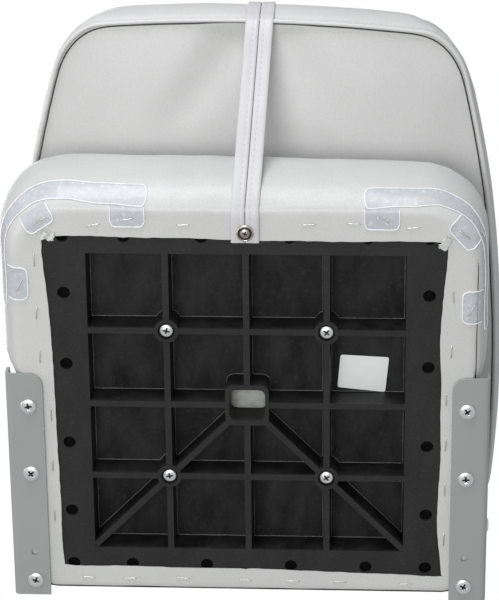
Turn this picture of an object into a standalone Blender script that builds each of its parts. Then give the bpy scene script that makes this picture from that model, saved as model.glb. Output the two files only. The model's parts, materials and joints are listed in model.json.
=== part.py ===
"""Folding boat seat, folded flat: a ribbed pan, two cushions and the steel angles that join them.

The seat lies with its pan down, the front towards -Y. The backrest turns on two pivots
at the rear, about an axis along X.
"""

import math

import bmesh
import bpy
from mathutils import Matrix, Vector

# Clearances that every piece shares
GAP = 0.0003
FOAM_GAP = 0.0008
OVERRUN = 0.004
HOLE_CLEARANCE = 0.0004
SEGMENTS = 12
WELD = 0.000001
SHARP_DEGREES = 40
CORNER_LIMIT_SHARE = 0.9

# Mounting pattern and pan
BOLT_SPACING = 0.127
CELLS = 4
RIB = 0.005
GRID_HALF_X = 0.126
GRID_HALF_Y = 0.129
POCKET_DEPTH = 0.023
POCKET_DRAFT = 0.001
PAN_ROOF = 0.003
PAN_WALL = 0.003
BORDER_THICK = 0.005
BOSS_RADIUS = 0.010
BOSS_RECESS_RADIUS = 0.007
BOSS_RECESS = 0.0034
BOSS_PROUD = 0.0005
TUBE_OUTER = 0.035
TUBE_CORNER = 0.006
SLOT_X = 0.029
SLOT_Y = 0.027
SLOT_CORNER = 0.005
DIAGONAL_SINK = 0.0005
BORDER_HOLE_RADIUS = 0.0052
BORDER_HOLE_DEPTH = 0.0038
BORDER_HOLE_X = 0.144
BORDER_HOLE_Y = 0.1435
BORDER_HOLE_INNER = 0.0345
BORDER_HOLE_OUTER = 0.0955

# Seat cushion: the straight base, what bulges past it, and its height
SEAT_BASE_HALF = 0.1845
SEAT_BASE_FRONT = 0.168
SEAT_BASE_REAR = 0.168
SEAT_FRONT_CORNER = 0.045
SEAT_REAR_CORNER = 0.024
SEAT_BULGE_FRONT = 0.014
SEAT_BULGE_SIDE = 0.011
SEAT_BULGE_REAR = 0.0015
SQUEEZE_LENGTH = 0.035
SEAT_BULGE_AT_EARS = 0.0015
SEAT_HEIGHT = 0.0948
COVER_THICK = 0.0012
HEM_SIDE = 0.031
HEM_FRONT = 0.023
HEM_REAR = 0.019
HEM_CORNER = 0.006
PAN_EDGE_INSET = 0.0025

# Sheet steel brackets
SHEET = 0.0025
BEND_RADIUS = 0.004
BEND_STEPS = 3
CORNER_STEPS = 5
SEAT_FLANGE_WIDTH = 0.030
EAR_STANDOFF = 0.009
SEAT_BRACKET_FRONT = 0.027
SEAT_BRACKET_REAR = 0.1715
BRACKET_CORNER = 0.011
EAR_FRONT_HEIGHT = 0.014
EAR_REAR_DROP = 0.007
EAR_RADIUS = 0.015
STOP_RADIUS = 0.003
STOP_REACH = 0.016
BRACKET_SCREW_LINE = 0.018
BRACKET_SCREW_PLACES = (0.001, 0.0605, 0.1575)
SPARE_HOLE_PLACE = 0.1325
SPARE_HOLE_RADIUS = 0.0028

# Pivots and fold
PIVOT_Y = 0.131
PIVOT_DROP = 0.048
FOLD_DEGREES = 96
RIVET_RADIUS = 0.004
RIVET_HEAD_RADIUS = 0.0062
RIVET_HEAD = 0.0022
RIVET_TAIL = 0.0012
WASHER_RADIUS = 0.0078
WASHER_THICK = 0.0010
ARM_RADIUS = 0.0125
ARM_LIP = 0.004
ARM_FLANGE_WIDTH = 0.0272
ARM_FLANGE_FRONT = 0.048
ARM_FLANGE_REAR = 0.110
ARM_FLANGE_DROP = 0.0056
ARM_SCREW_LINE = 0.0157
ARM_SCREW_PLACES = (0.058, 0.077, 0.096)

# Screws: the dome's shares of the head's radius at its top and halfway
DOME_SHARES = (0.62, 0.93)
SCREW_HEAD_RADIUS = 0.0052
SCREW_HEAD = 0.0021
SCREW_SHANK_RADIUS = 0.0021
SCREW_SHORT = 0.009
MOUNT_HEAD_RADIUS = 0.0055
MOUNT_HEAD = 0.0030
MOUNT_SHANK_RADIUS = 0.0030
MOUNT_SHANK = 0.016
ARM_SCREW_LENGTH = 0.044

# Backrest cushion
BACK_OVERHANG = 0.024
BACK_TOP = 0.2965
BACK_BOTTOM = 0.160
BACK_WIDEST = 0.030
BACK_TAPER_TOP = 0.057
BACK_TOP_CORNER = 0.038
BACK_BOTTOM_CORNER = 0.050
BACK_CLEARANCE = 0.010
BACK_EDGE = 0.040
BACK_CROWN = 0.0072
BACK_EDGE_INSET = 0.0085
BACK_HEM = 0.024
BOARD_THICK = 0.010
BOARD_INSET = 0.012
PANEL_INSET = 0.008
PANEL_THICK = 0.0026
PANEL_CROWN = 0.0036
PIPING_RADIUS = 0.0024
PIPING_INSET = 0.0040

# Hold-down strap
STRAP_WIDTH = 0.022
STRAP_THICK = 0.0020
STRAP_LEAN = 0.008
STRAP_END = 0.144
STRAP_SCREW_Y = 0.1515
STRAP_ANCHOR_Y = 0.256
STRAP_PANEL_RINGS = 5
STRAP_WASHER_RADIUS = 0.0055
STRAP_WASHER_THICK = 0.0017
STRAP_SCREW_HEAD_RADIUS = 0.0036
STRAP_SHANK_RADIUS = 0.0018
ANCHOR_SHANK = 0.010

# Clear corner guards
GUARD_THICK = 0.0007
GUARD_FRONT_LENGTH = 0.1045
GUARD_SIDE_Y = 0.078
GUARD_LIFT = 0.0005
TAB_WIDTH = 0.028
TAB_LENGTH = 0.017

# Heights that the pieces stack to, from the floor up
Z_FLANGE = SCREW_HEAD + GAP
Z_HEM = Z_FLANGE + SHEET + GAP
Z_PAN = Z_HEM + COVER_THICK + GAP
Z_BORDER_TOP = Z_PAN + BORDER_THICK
Z_POCKET = Z_PAN + POCKET_DEPTH
Z_PAN_TOP = Z_POCKET + PAN_ROOF
BACK_FACE_Z = Z_HEM + SEAT_HEIGHT + BACK_CLEARANCE
PIVOT_Z = BACK_FACE_Z - PIVOT_DROP
Z_ARM_TOP = BACK_FACE_Z - ARM_FLANGE_DROP
Z_BACK_REAR = BACK_FACE_Z + BACK_EDGE
PITCH = BOLT_SPACING / 2

# Widths that follow the seat's width
EAR_OUTER = SEAT_BASE_HALF + EAR_STANDOFF
SEAT_BRACKET_INNER = EAR_OUTER - SEAT_FLANGE_WIDTH
BRACKET_SCREW_X = EAR_OUTER - BRACKET_SCREW_LINE
ARM_OUTER = EAR_OUTER - SHEET - GAP
ARM_FLANGE_INNER = ARM_OUTER - ARM_FLANGE_WIDTH
ARM_SCREW_X = ARM_OUTER - ARM_SCREW_LINE
BACK_HALF = SEAT_BASE_HALF + BACK_OVERHANG
GUARD_FRONT_X = SEAT_BASE_HALF - GUARD_FRONT_LENGTH

# Rings of the seat cushion's side: share of the bulge, share of the height
SEAT_SIDE_SHARES = (
    (0.0, 0.0), (0.36, 0.022), (0.68, 0.085), (0.92, 0.2), (1.0, 0.4),
    (1.0, 0.57), (0.82, 0.72), (0.3, 0.83),
)
# Rings of its crown: share of the half width that it is inset, share of the height
SEAT_CROWN_SHARES = (
    (0.03, 0.9), (0.09, 0.95), (0.2, 0.975), (0.4, 0.99), (0.65, 0.998), (0.85, 1.0),
)
# Rings of the backrest's boxing, from the rear: share of the edge inset, share of the edge height
BACK_SIDE_SHARES = (
    (1.0, 1.0), (0.3, 0.93), (0.0, 0.78), (-0.18, 0.52), (-0.06, 0.2), (0.22, 0.045),
)
# Rings of the backrest's face: share of the half width that it is inset, share of the crown
BACK_FACE_SHARES = (
    (0.03, 0.06), (0.095, 0.33), (0.21, 0.66), (0.38, 0.88), (0.6, 0.98), (0.82, 1.0),
)
# Rings of the rear panel: share of the half width that it is inset, share of its crown
PANEL_SHARES = ((0.012, 0.0), (0.08, 0.36), (0.24, 0.72), (0.5, 0.94), (0.8, 1.0))
# Heights of the clear guard above the hem, as shares of the cushion's height, and bulge shares there
GUARD_SHARES = ((0.0, 0.0), (0.36, 0.022), (0.68, 0.085), (0.92, 0.2), (0.97, 0.27))
# Where the tabs sit along the guard, as shares of its length from the front end
TAB_SHARES = (0.13, 0.52, 0.93)

# The folded seat's footprint is centred on the origin, from the strap's front to the brackets' rear
FRONT_REACH = BACK_TOP - min(BACK_SIDE_SHARES)[0] * BACK_EDGE_INSET + 2 * GAP + STRAP_THICK
REAR_REACH = max(SEAT_BRACKET_REAR, SEAT_BASE_REAR + SEAT_BULGE_REAR)
SEAT_Y = (FRONT_REACH - REAR_REACH) / 2

COLOURS = {
    "vinyl": ((0.62, 0.62, 0.60), 0.5, 0.0),
    "foam": ((0.75, 0.72, 0.6), 0.9, 0.0),
    "black_plastic": ((0.02, 0.02, 0.02), 0.55, 0.0),
    "grey_paint": ((0.33, 0.35, 0.34), 0.45, 0.3),
    "steel": ((0.75, 0.75, 0.76), 0.25, 1.0),
    "clear_plastic": ((0.85, 0.87, 0.92), 0.2, 0.0),
    "board": ((0.55, 0.4, 0.24), 0.7, 0.0),
}


def material(name):
    """The named finish, made once."""
    found = bpy.data.materials.get(name)
    if found:
        return found
    colour, roughness, metallic = COLOURS[name]
    made = bpy.data.materials.new(name)
    made.use_nodes = True
    shader = made.node_tree.nodes["Principled BSDF"]
    shader.inputs["Base Color"].default_value = (*colour, 1.0)
    shader.inputs["Roughness"].default_value = roughness
    shader.inputs["Metallic"].default_value = metallic
    return made


def add_object(name, bm, finish, body, smooth=True, outward=True):
    """Make an object of a bmesh drawn about the bolt pattern's centre, and put it on its body."""
    if outward:
        bmesh.ops.recalc_face_normals(bm, faces=bm.faces)
    mesh = bpy.data.meshes.new(name)
    bm.to_mesh(mesh)
    bm.free()
    if smooth:
        mesh.shade_smooth()
        mesh.set_sharp_from_angle(angle=math.radians(SHARP_DEGREES))
    obj = bpy.data.objects.new(name, mesh)
    mesh.materials.append(material(finish))
    bpy.context.scene.collection.objects.link(obj)
    mesh.transform(Matrix.Translation(-body["centre"]))
    obj.parent = body["empty"]
    return obj


def add_body(name, centre, parent=None):
    """An empty that carries a body's pieces, at a point measured from the bolt pattern's centre."""
    empty = bpy.data.objects.new(name, None)
    bpy.context.scene.collection.objects.link(empty)
    if parent is None:
        empty.location = centre + Vector((0, SEAT_Y, 0))
    else:
        empty.parent = parent["empty"]
        empty.location = centre - parent["centre"]
    return {"empty": empty, "centre": centre}


def hide_cutter(cutter):
    """Keep a cutter out of the model."""
    cutter.hide_render = True
    cutter.display_type = "WIRE"


def cut(obj, cutter, operation="DIFFERENCE"):
    """Cut or join with a Boolean, and hide the other shape."""
    step = obj.modifiers.new(operation.lower(), "BOOLEAN")
    step.operation = operation
    step.solver = "EXACT"
    step.use_self = operation == "UNION"
    step.object = cutter
    hide_cutter(cutter)


def smoothstep(low, high, value):
    """From 0 at low to 1 at high, level at both."""
    t = min(max((value - low) / (high - low), 0.0), 1.0)
    return t * t * (3 - 2 * t)


def rounded_outline(half, front, rear, front_radius, rear_radius, per_corner=5, per_side=5):
    """Points of a rounded rectangle, anticlockwise from the left end of its front side."""
    corners = (
        (half - front_radius, -front + front_radius, front_radius, -90),
        (half - rear_radius, rear - rear_radius, rear_radius, 0),
        (-half + rear_radius, rear - rear_radius, rear_radius, 90),
        (-half + front_radius, -front + front_radius, front_radius, 180),
    )
    points = []
    last = Vector((-half + front_radius, -front))
    for x, y, radius, start in corners:
        first = Vector((x, y)) + radius * direction(start)
        points += [last.lerp(first, k / per_side) for k in range(1, per_side)]
        for k in range(per_corner + 1):
            points.append(Vector((x, y)) + radius * direction(start + 90 * k / per_corner))
        last = points[-1]
    return points


def direction(degrees):
    """Unit vector at an angle in the plane."""
    return Vector((math.cos(math.radians(degrees)), math.sin(math.radians(degrees))))


def loft(bm, rings, close_end=True):
    """Join rings of points with faces, and close the last one with a fan."""
    loops = [[bm.verts.new(p) for p in ring] for ring in rings]
    count = len(loops[0])
    for low, high in zip(loops, loops[1:]):
        for k in range(count):
            n = (k + 1) % count
            bm.faces.new((low[k], low[n], high[n], high[k]))
    if close_end:
        centre = sum((v.co for v in loops[-1]), Vector()) / count
        hub = bm.verts.new(centre)
        for k in range(count):
            bm.faces.new((loops[-1][k], loops[-1][(k + 1) % count], hub))
    return loops


def prism(name, points, low, high, body, finish="steel"):
    """A closed prism over an outline in the plane."""
    bm = bmesh.new()
    face = bm.faces.new([bm.verts.new((x, y, low)) for x, y in points])
    made = bmesh.ops.extrude_face_region(bm, geom=[face])
    lifted = [v for v in made["geom"] if isinstance(v, bmesh.types.BMVert)]
    bmesh.ops.translate(bm, verts=lifted, vec=(0, 0, high - low))
    return add_object(name, bm, finish, body, smooth=False)


def cylinders(name, places, radius, low, high, body):
    """Upright cylinders of one radius, as one cutter or one group of bosses."""
    bm = bmesh.new()
    for x, y in places:
        bmesh.ops.create_cone(
            bm, cap_ends=True, segments=SEGMENTS, radius1=radius, radius2=radius,
            depth=high - low, matrix=Matrix.Translation((x, y, (low + high) / 2)),
        )
    return add_object(name, bm, "steel", body, smooth=False)


def box_between(bm, low, high):
    """Add a box between two corners."""
    size = Vector(high) - Vector(low)
    middle = (Vector(high) + Vector(low)) / 2
    bmesh.ops.create_cube(bm, size=1, matrix=Matrix.Translation(middle) @ Matrix.Diagonal((*size, 1)))


def turned(name, profile, place, finish, body, along=(0, 0, 1), ring=False):
    """Spin a profile of radius and height about its axis. A ring's profile is a closed loop."""
    bm = bmesh.new()
    verts = [bm.verts.new((radius, 0, height)) for radius, height in profile]
    pairs = list(zip(verts, verts[1:] + verts[:1] if ring else verts[1:]))
    edges = [bm.edges.new(pair) for pair in pairs]
    bmesh.ops.spin(
        bm, geom=verts + edges, cent=(0, 0, 0), axis=(0, 0, 1), angle=math.tau,
        steps=SEGMENTS, use_merge=True,
    )
    bmesh.ops.remove_doubles(bm, verts=bm.verts, dist=WELD)
    turn = Vector((0, 0, 1)).rotation_difference(Vector(along)).to_matrix().to_4x4()
    bmesh.ops.transform(bm, matrix=Matrix.Translation(place) @ turn, verts=bm.verts)
    return add_object(name, bm, finish, body)


def four_ways(x, y):
    """The four mirror places of a point about the bolt pattern's centre."""
    return [(sx * x, sy * y) for sy in (-1, 1) for sx in (-1, 1)]


def both_sides(x, places):
    """Each place along Y at both sides of the middle."""
    return [(side * x, y) for side in (-1, 1) for y in places]


def seat_ring(share, height, lift=0.0, per_corner=5, per_side=5):
    """A ring of the seat cushion's side: the base outline and a share of its bulge."""
    side = share * SEAT_BULGE_SIDE + lift
    front = share * SEAT_BULGE_FRONT + lift
    rear = share * SEAT_BULGE_REAR + lift
    outline = rounded_outline(
        SEAT_BASE_HALF + side, SEAT_BASE_FRONT + front, SEAT_BASE_REAR + rear,
        SEAT_FRONT_CORNER + front, SEAT_REAR_CORNER + rear, per_corner, per_side,
    )
    squeezed = share * (SEAT_BULGE_SIDE - SEAT_BULGE_AT_EARS) / (SEAT_BASE_HALF + side)
    points = []
    for x, y in outline:
        at_ears = smoothstep(-SEAT_BRACKET_FRONT - SQUEEZE_LENGTH, -SEAT_BRACKET_FRONT, y)
        points.append(Vector((x * (1 - squeezed * at_ears), y, Z_HEM + height * SEAT_HEIGHT)))
    return points


def seat_crown_ring(share, height):
    """A ring of the seat cushion's top, inset by a share of its half width."""
    inset = share * SEAT_BASE_HALF
    half, front, rear = SEAT_BASE_HALF - inset, SEAT_BASE_FRONT - inset, SEAT_BASE_REAR - inset
    limit = CORNER_LIMIT_SHARE * min(half, front, rear)
    outline = rounded_outline(
        half, front, rear,
        min(SEAT_FRONT_CORNER + share * SEAT_FRONT_CORNER, limit),
        min(SEAT_REAR_CORNER + share * SEAT_REAR_CORNER, limit),
    )
    return [Vector((x, y, Z_HEM + height * SEAT_HEIGHT)) for x, y in outline]


def seat_hem_ring():
    """The cut edge of the vinyl that is turned under the pan."""
    outline = rounded_outline(
        SEAT_BASE_HALF - HEM_SIDE, SEAT_BASE_FRONT - HEM_FRONT, SEAT_BASE_REAR - HEM_REAR,
        HEM_CORNER, HEM_CORNER,
    )
    return [Vector((x, y, Z_HEM)) for x, y in outline]


def seat_rings():
    """Every ring of the seat cushion's skin, from the hem to the crown."""
    sides = [seat_ring(*row) for row in SEAT_SIDE_SHARES]
    return [seat_hem_ring()] + sides + [seat_crown_ring(*row) for row in SEAT_CROWN_SHARES]


def back_outline(inset, per_corner=5, per_side=5):
    """The backrest's outline, inset, widest near the hinges and narrower at its top."""
    limit = CORNER_LIMIT_SHARE * min(BACK_HALF - inset, (BACK_TOP + BACK_BOTTOM) / 2 - inset)
    outline = rounded_outline(
        BACK_HALF - inset, BACK_TOP - inset, BACK_BOTTOM - inset,
        min(BACK_TOP_CORNER, limit), min(BACK_BOTTOM_CORNER, limit), per_corner, per_side,
    )
    points = []
    for x, y in outline:
        away = (y - BACK_WIDEST) / (BACK_TOP + BACK_WIDEST)
        points.append((x * (1 - BACK_TAPER_TOP / BACK_HALF * away * away), y))
    return points


def back_ring(inset, z, per_corner=5, per_side=5):
    """A ring of the backrest at a height."""
    return [Vector((x, y, z)) for x, y in back_outline(inset, per_corner, per_side)]


def back_side_places():
    """Inset and height of each ring of the boxing, from the rear."""
    return [(share * BACK_EDGE_INSET, BACK_FACE_Z + rise * BACK_EDGE) for share, rise in BACK_SIDE_SHARES]


def back_face_places():
    """Inset and height of each ring of the face, from its edge to its crown."""
    return [(share * BACK_HALF, BACK_FACE_Z - fall * BACK_CROWN) for share, fall in BACK_FACE_SHARES]


def back_rings():
    """Every ring of the backrest's skin, from the hem behind to the crown in front."""
    hem = back_ring(BACK_EDGE_INSET + BACK_HEM, Z_BACK_REAR)
    return [hem] + [back_ring(*place) for place in back_side_places() + back_face_places()]


def skin(name, rings, body):
    """A vinyl cover: the rings' open skin, with its thickness inwards."""
    bm = bmesh.new()
    loft(bm, rings)
    face_out(bm)
    cover = add_object(name, bm, "vinyl", body, outward=False)
    wall = cover.modifiers.new("thickness", "SOLIDIFY")
    wall.thickness = COVER_THICK
    wall.offset = -1
    return cover


def face_out(bm):
    """Turn an open skin's faces away from its middle."""
    bmesh.ops.recalc_face_normals(bm, faces=bm.faces)
    middle = sum((v.co for v in bm.verts), Vector()) / len(bm.verts)
    outwards = sum(f.normal.dot(f.calc_center_median() - middle) * f.calc_area() for f in bm.faces)
    if outwards < 0:
        bmesh.ops.reverse_faces(bm, faces=bm.faces)


def stuffing(name, rings, body):
    """A cushion's foam: the cover's rings drawn in by the cover and a gap, closed over the hem."""
    bm = bmesh.new()
    loops = loft(bm, rings)
    bm.faces.new(loops[0])
    bmesh.ops.recalc_face_normals(bm, faces=bm.faces)
    bm.normal_update()
    drawn_in = [v.co - v.normal * (COVER_THICK + FOAM_GAP) for v in bm.verts]
    for vert, place in zip(bm.verts, drawn_in):
        vert.co = place
    return add_object(name, bm, "foam", body)


def pocket(bm, x_low, x_high, y_low, y_high):
    """One drafted pocket, narrower at its roof, from below the ribs."""
    slope = POCKET_DRAFT / POCKET_DEPTH
    rings = []
    for z in (Z_PAN - OVERRUN, Z_POCKET):
        grow = (Z_PAN - z) * slope
        rings.append([
            Vector((x_low - grow, y_low - grow, z)), Vector((x_high + grow, y_low - grow, z)),
            Vector((x_high + grow, y_high + grow, z)), Vector((x_low - grow, y_high + grow, z)),
        ])
    loops = loft(bm, rings)
    bm.faces.new(loops[0])


def rib_lines(half):
    """Low and high edge of each row of pockets across the grid."""
    edges = [-half] + [k * PITCH for k in range(1 - CELLS // 2, CELLS // 2)] + [half]
    last = len(edges) - 1
    return [
        (low + (RIB / 2 if k else 0), high - (RIB / 2 if k + 1 < last else 0))
        for k, (low, high) in enumerate(zip(edges, edges[1:]))
    ]


def diagonal_rib(bm, side):
    """A bar from the central tube through the rear boss to the grid's rear corner."""
    start = Vector((side * (TUBE_OUTER / 2 - TUBE_CORNER), TUBE_OUTER / 2 - TUBE_CORNER))
    end = Vector((side * (GRID_HALF_X + RIB / 4), GRID_HALF_Y))
    across = (end - start).normalized().orthogonal() * (RIB / 2)
    corners = [start - across, end - across, end + across, start + across]
    rings = [
        [Vector((*corner, z)) for corner in corners]
        for z in (Z_PAN + DIAGONAL_SINK, Z_POCKET + PAN_ROOF / 2)
    ]
    loops = loft(bm, rings)
    bm.faces.new(loops[0])


def border_hole_places():
    """The moulding holes round the grid: one beside each pocket and one at each corner."""
    places = four_ways(BORDER_HOLE_X, BORDER_HOLE_Y)
    for reach in (BORDER_HOLE_INNER, BORDER_HOLE_OUTER):
        places += four_ways(BORDER_HOLE_X, reach) + four_ways(reach, BORDER_HOLE_Y)
    return places


def build_pan(body, pilot_holes):
    """The moulded base: a flat border, the pocket grid, bosses, the slot and two diagonal ribs."""
    edge = rounded_outline(
        SEAT_BASE_HALF - PAN_EDGE_INSET, SEAT_BASE_FRONT - PAN_EDGE_INSET,
        SEAT_BASE_REAR - PAN_EDGE_INSET, SEAT_FRONT_CORNER, SEAT_REAR_CORNER,
    )
    pan = prism("seat_pan", edge, Z_PAN, Z_BORDER_TOP, body, "black_plastic")
    bm = bmesh.new()
    wall_x, wall_y = GRID_HALF_X + PAN_WALL, GRID_HALF_Y + PAN_WALL
    box_between(bm, (-wall_x, -wall_y, Z_PAN + BORDER_THICK / 2), (wall_x, wall_y, Z_PAN_TOP))
    cut(pan, add_object("grid_box", bm, "black_plastic", body, smooth=False), "UNION")
    bm = bmesh.new()
    for x_low, x_high in rib_lines(GRID_HALF_X):
        for y_low, y_high in rib_lines(GRID_HALF_Y):
            pocket(bm, x_low, x_high, y_low, y_high)
    cut(pan, add_object("pockets", bm, "black_plastic", body, smooth=False))
    bosses = four_ways(PITCH, PITCH)
    boss_low, boss_high = Z_PAN - BOSS_PROUD, Z_POCKET + PAN_ROOF / 2
    cut(pan, cylinders("bosses", bosses, BOSS_RADIUS, boss_low, boss_high, body), "UNION")
    half = TUBE_OUTER / 2
    tube = rounded_outline(half, half, half, TUBE_CORNER, TUBE_CORNER, per_corner=3, per_side=1)
    cut(pan, prism("tube", tube, boss_low, boss_high, body), "UNION")
    bm = bmesh.new()
    for side in (-1, 1):
        diagonal_rib(bm, side)
    cut(pan, add_object("diagonals", bm, "black_plastic", body, smooth=False), "UNION")
    slot = rounded_outline(
        SLOT_X / 2, SLOT_Y / 2, SLOT_Y / 2, SLOT_CORNER, SLOT_CORNER, per_corner=3, per_side=1,
    )
    cut(pan, prism("slot", slot, boss_low - OVERRUN, Z_PAN_TOP + OVERRUN, body))
    recess_top = boss_low + BOSS_RECESS
    cut(pan, cylinders("recesses", bosses, BOSS_RECESS_RADIUS, boss_low - OVERRUN, recess_top, body))
    bore = MOUNT_SHANK_RADIUS + GAP
    bore_top = recess_top + MOUNT_SHANK + HOLE_CLEARANCE
    cut(pan, cylinders("boss_bores", bosses, bore, boss_low - OVERRUN, bore_top, body))
    hole_top = Z_PAN + BORDER_HOLE_DEPTH
    places = border_hole_places()
    cut(pan, cylinders("border_holes", places, BORDER_HOLE_RADIUS, Z_PAN - OVERRUN, hole_top, body))
    cut(pan, pilot_holes)
    return pan


def build_seat_cushion(body, pilot_holes):
    """The vinyl cover with its turned-under hem, and the foam that sits on the pan."""
    cut(skin("seat_cover", seat_rings(), body), pilot_holes)
    foam = stuffing("seat_foam", seat_rings(), body)
    bm = bmesh.new()
    reach = 2 * SEAT_BASE_HALF
    box_between(bm, (-reach, -reach, -OVERRUN), (reach, reach, Z_BORDER_TOP + GAP))
    cut(foam, add_object("under_foam", bm, "foam", body, smooth=False))
    bm = bmesh.new()
    x, y = GRID_HALF_X + PAN_WALL + GAP, GRID_HALF_Y + PAN_WALL + GAP
    box_between(bm, (-x, -y, -OVERRUN), (x, y, Z_PAN_TOP + GAP))
    cut(foam, add_object("foam_recess", bm, "foam", body, smooth=False))


def arc(centre, radius, start, end, steps):
    """Points along an arc between two angles, in degrees."""
    return [
        Vector(centre) + radius * direction(start + (end - start) * k / steps) for k in range(steps + 1)
    ]


def tangent_angle(point, centre, radius, side):
    """Angle of the point on a circle whose tangent runs to an outside point."""
    away = Vector(point) - Vector(centre)
    spread = math.degrees(math.acos(radius / away.length))
    return math.degrees(math.atan2(away.y, away.x)) + side * spread


def angle_bracket(name, side, body, flange, plate, bend, finish="grey_paint"):
    """A bent steel angle: the outer skin of a flange, a bend and an upright plate, given a thickness.

    flange holds (x, y) points between the bend's two ends, plate holds (y, z) points likewise, and
    bend holds the plate's x, the flange's z, the low and high y, and +1 where the plate stands up
    from the flange or -1 where it hangs from it.
    """
    plate_x, flange_z, y_low, y_high, upright = bend
    bm = bmesh.new()
    rows = []
    for y in (y_low, y_high):
        row = []
        for k in range(BEND_STEPS + 1):
            turn = direction(-90 + 90 * k / BEND_STEPS) * BEND_RADIUS
            x = plate_x - BEND_RADIUS + turn.x
            z = flange_z + upright * (BEND_RADIUS + turn.y)
            row.append(bm.verts.new((x, y, z)))
        rows.append(row)
    for k in range(BEND_STEPS):
        bm.faces.new((rows[0][k], rows[0][k + 1], rows[1][k + 1], rows[1][k]))
    flat = [bm.verts.new((x, y, flange_z)) for x, y in flange]
    bm.faces.new([rows[0][0], rows[1][0]] + flat)
    upper = [bm.verts.new((plate_x, y, z)) for y, z in plate]
    bm.faces.new([rows[1][-1], rows[0][-1]] + upper)
    bmesh.ops.recalc_face_normals(bm, faces=bm.faces)
    bm.faces.ensure_lookup_table()
    if bm.faces[-1].normal.x < 0:
        bmesh.ops.reverse_faces(bm, faces=bm.faces)
    if side < 0:
        bmesh.ops.scale(bm, vec=(-1, 1, 1), verts=bm.verts)
        bmesh.ops.reverse_faces(bm, faces=bm.faces)
    bracket = add_object(name, bm, finish, body, outward=False)
    wall = bracket.modifiers.new("thickness", "SOLIDIFY")
    wall.thickness = SHEET
    wall.offset = -1
    wall.use_even_offset = True
    return bracket


def seat_bracket(name, side, body):
    """The angle under the seat's side, with the ear that holds the pivot."""
    front, rear = -SEAT_BRACKET_FRONT, SEAT_BRACKET_REAR
    inner = SEAT_BRACKET_INNER
    corner = (inner + BRACKET_CORNER, front + BRACKET_CORNER)
    flange = [Vector((inner, rear))] + arc(corner, BRACKET_CORNER, 180, 270, CORNER_STEPS)
    pivot = (PIVOT_Y, PIVOT_Z)
    nose, tail = (front, Z_FLANGE + EAR_FRONT_HEIGHT), (rear, PIVOT_Z - EAR_REAR_DROP)
    start = tangent_angle(nose, pivot, EAR_RADIUS, -1) + 360
    end = tangent_angle(tail, pivot, EAR_RADIUS, 1)
    plate = [Vector(nose)] + arc(pivot, EAR_RADIUS, start, end, CORNER_STEPS) + [Vector(tail)]
    bend = (EAR_OUTER, Z_FLANGE, front, rear, 1)
    bracket = angle_bracket(name, side, body, flange, plate, bend)
    bm = bmesh.new()
    rib = cylinder_across(bm, stop_place(), STOP_RADIUS, ARM_OUTER - SHEET, EAR_OUTER - SHEET / 2, side)
    cut(bracket, add_object(name + "_stop", rib, "grey_paint", body, smooth=False), "UNION")
    return bracket


def stop_place():
    """Where the ear's stop stands: just under the arm's edge when the backrest is open."""
    pivot = Vector((PIVOT_Y, PIVOT_Z))
    edge_end = (ARM_FLANGE_REAR, Z_ARM_TOP - BEND_RADIUS)
    opened = tangent_angle(edge_end, pivot, ARM_RADIUS, -1) - FOLD_DEGREES
    outwards = direction(opened)
    return pivot + outwards * (ARM_RADIUS + STOP_RADIUS + GAP) + direction(opened + 90) * STOP_REACH


def cylinder_across(bm, place, radius, inner, outer, side):
    """A cylinder along X at a (y, z) place, between two distances from the middle."""
    middle = Vector((side * (inner + outer) / 2, *place))
    bmesh.ops.create_cone(
        bm, cap_ends=True, segments=SEGMENTS, radius1=radius, radius2=radius, depth=outer - inner,
        matrix=Matrix.Translation(middle) @ Matrix.Rotation(math.pi / 2, 4, "Y"),
    )
    return bm


def back_bracket(name, side, body):
    """The arm that turns on the pivot, with the flange under the backrest's face."""
    front, rear = ARM_FLANGE_FRONT, ARM_FLANGE_REAR
    inner = ARM_FLANGE_INNER
    corner_front = (inner + BRACKET_CORNER, front + BRACKET_CORNER)
    flange = [Vector((inner, rear))] + arc(corner_front, BRACKET_CORNER, 180, 270, CORNER_STEPS)
    pivot = (PIVOT_Y, PIVOT_Z)
    edge = Z_ARM_TOP - BEND_RADIUS
    start = tangent_angle((rear, edge), pivot, ARM_RADIUS, -1)
    end = tangent_angle((front, edge - ARM_LIP), pivot, ARM_RADIUS, 1) - 360
    round_end = arc(pivot, ARM_RADIUS, start, end, 2 * CORNER_STEPS)
    plate = [Vector((front, edge - ARM_LIP))] + round_end[::-1]
    bend = (ARM_OUTER, Z_ARM_TOP, front, rear, -1)
    return angle_bracket(name, side, body, flange, plate, bend)


def screw_profile(head_radius, head, shank_radius, length):
    """A pan head below its shank, as radius and height from the head's bearing face."""
    return [
        (0, -head), (DOME_SHARES[0] * head_radius, -head), (DOME_SHARES[1] * head_radius, -head / 2),
        (head_radius, 0), (shank_radius, 0), (shank_radius, length), (0, length),
    ]


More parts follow.
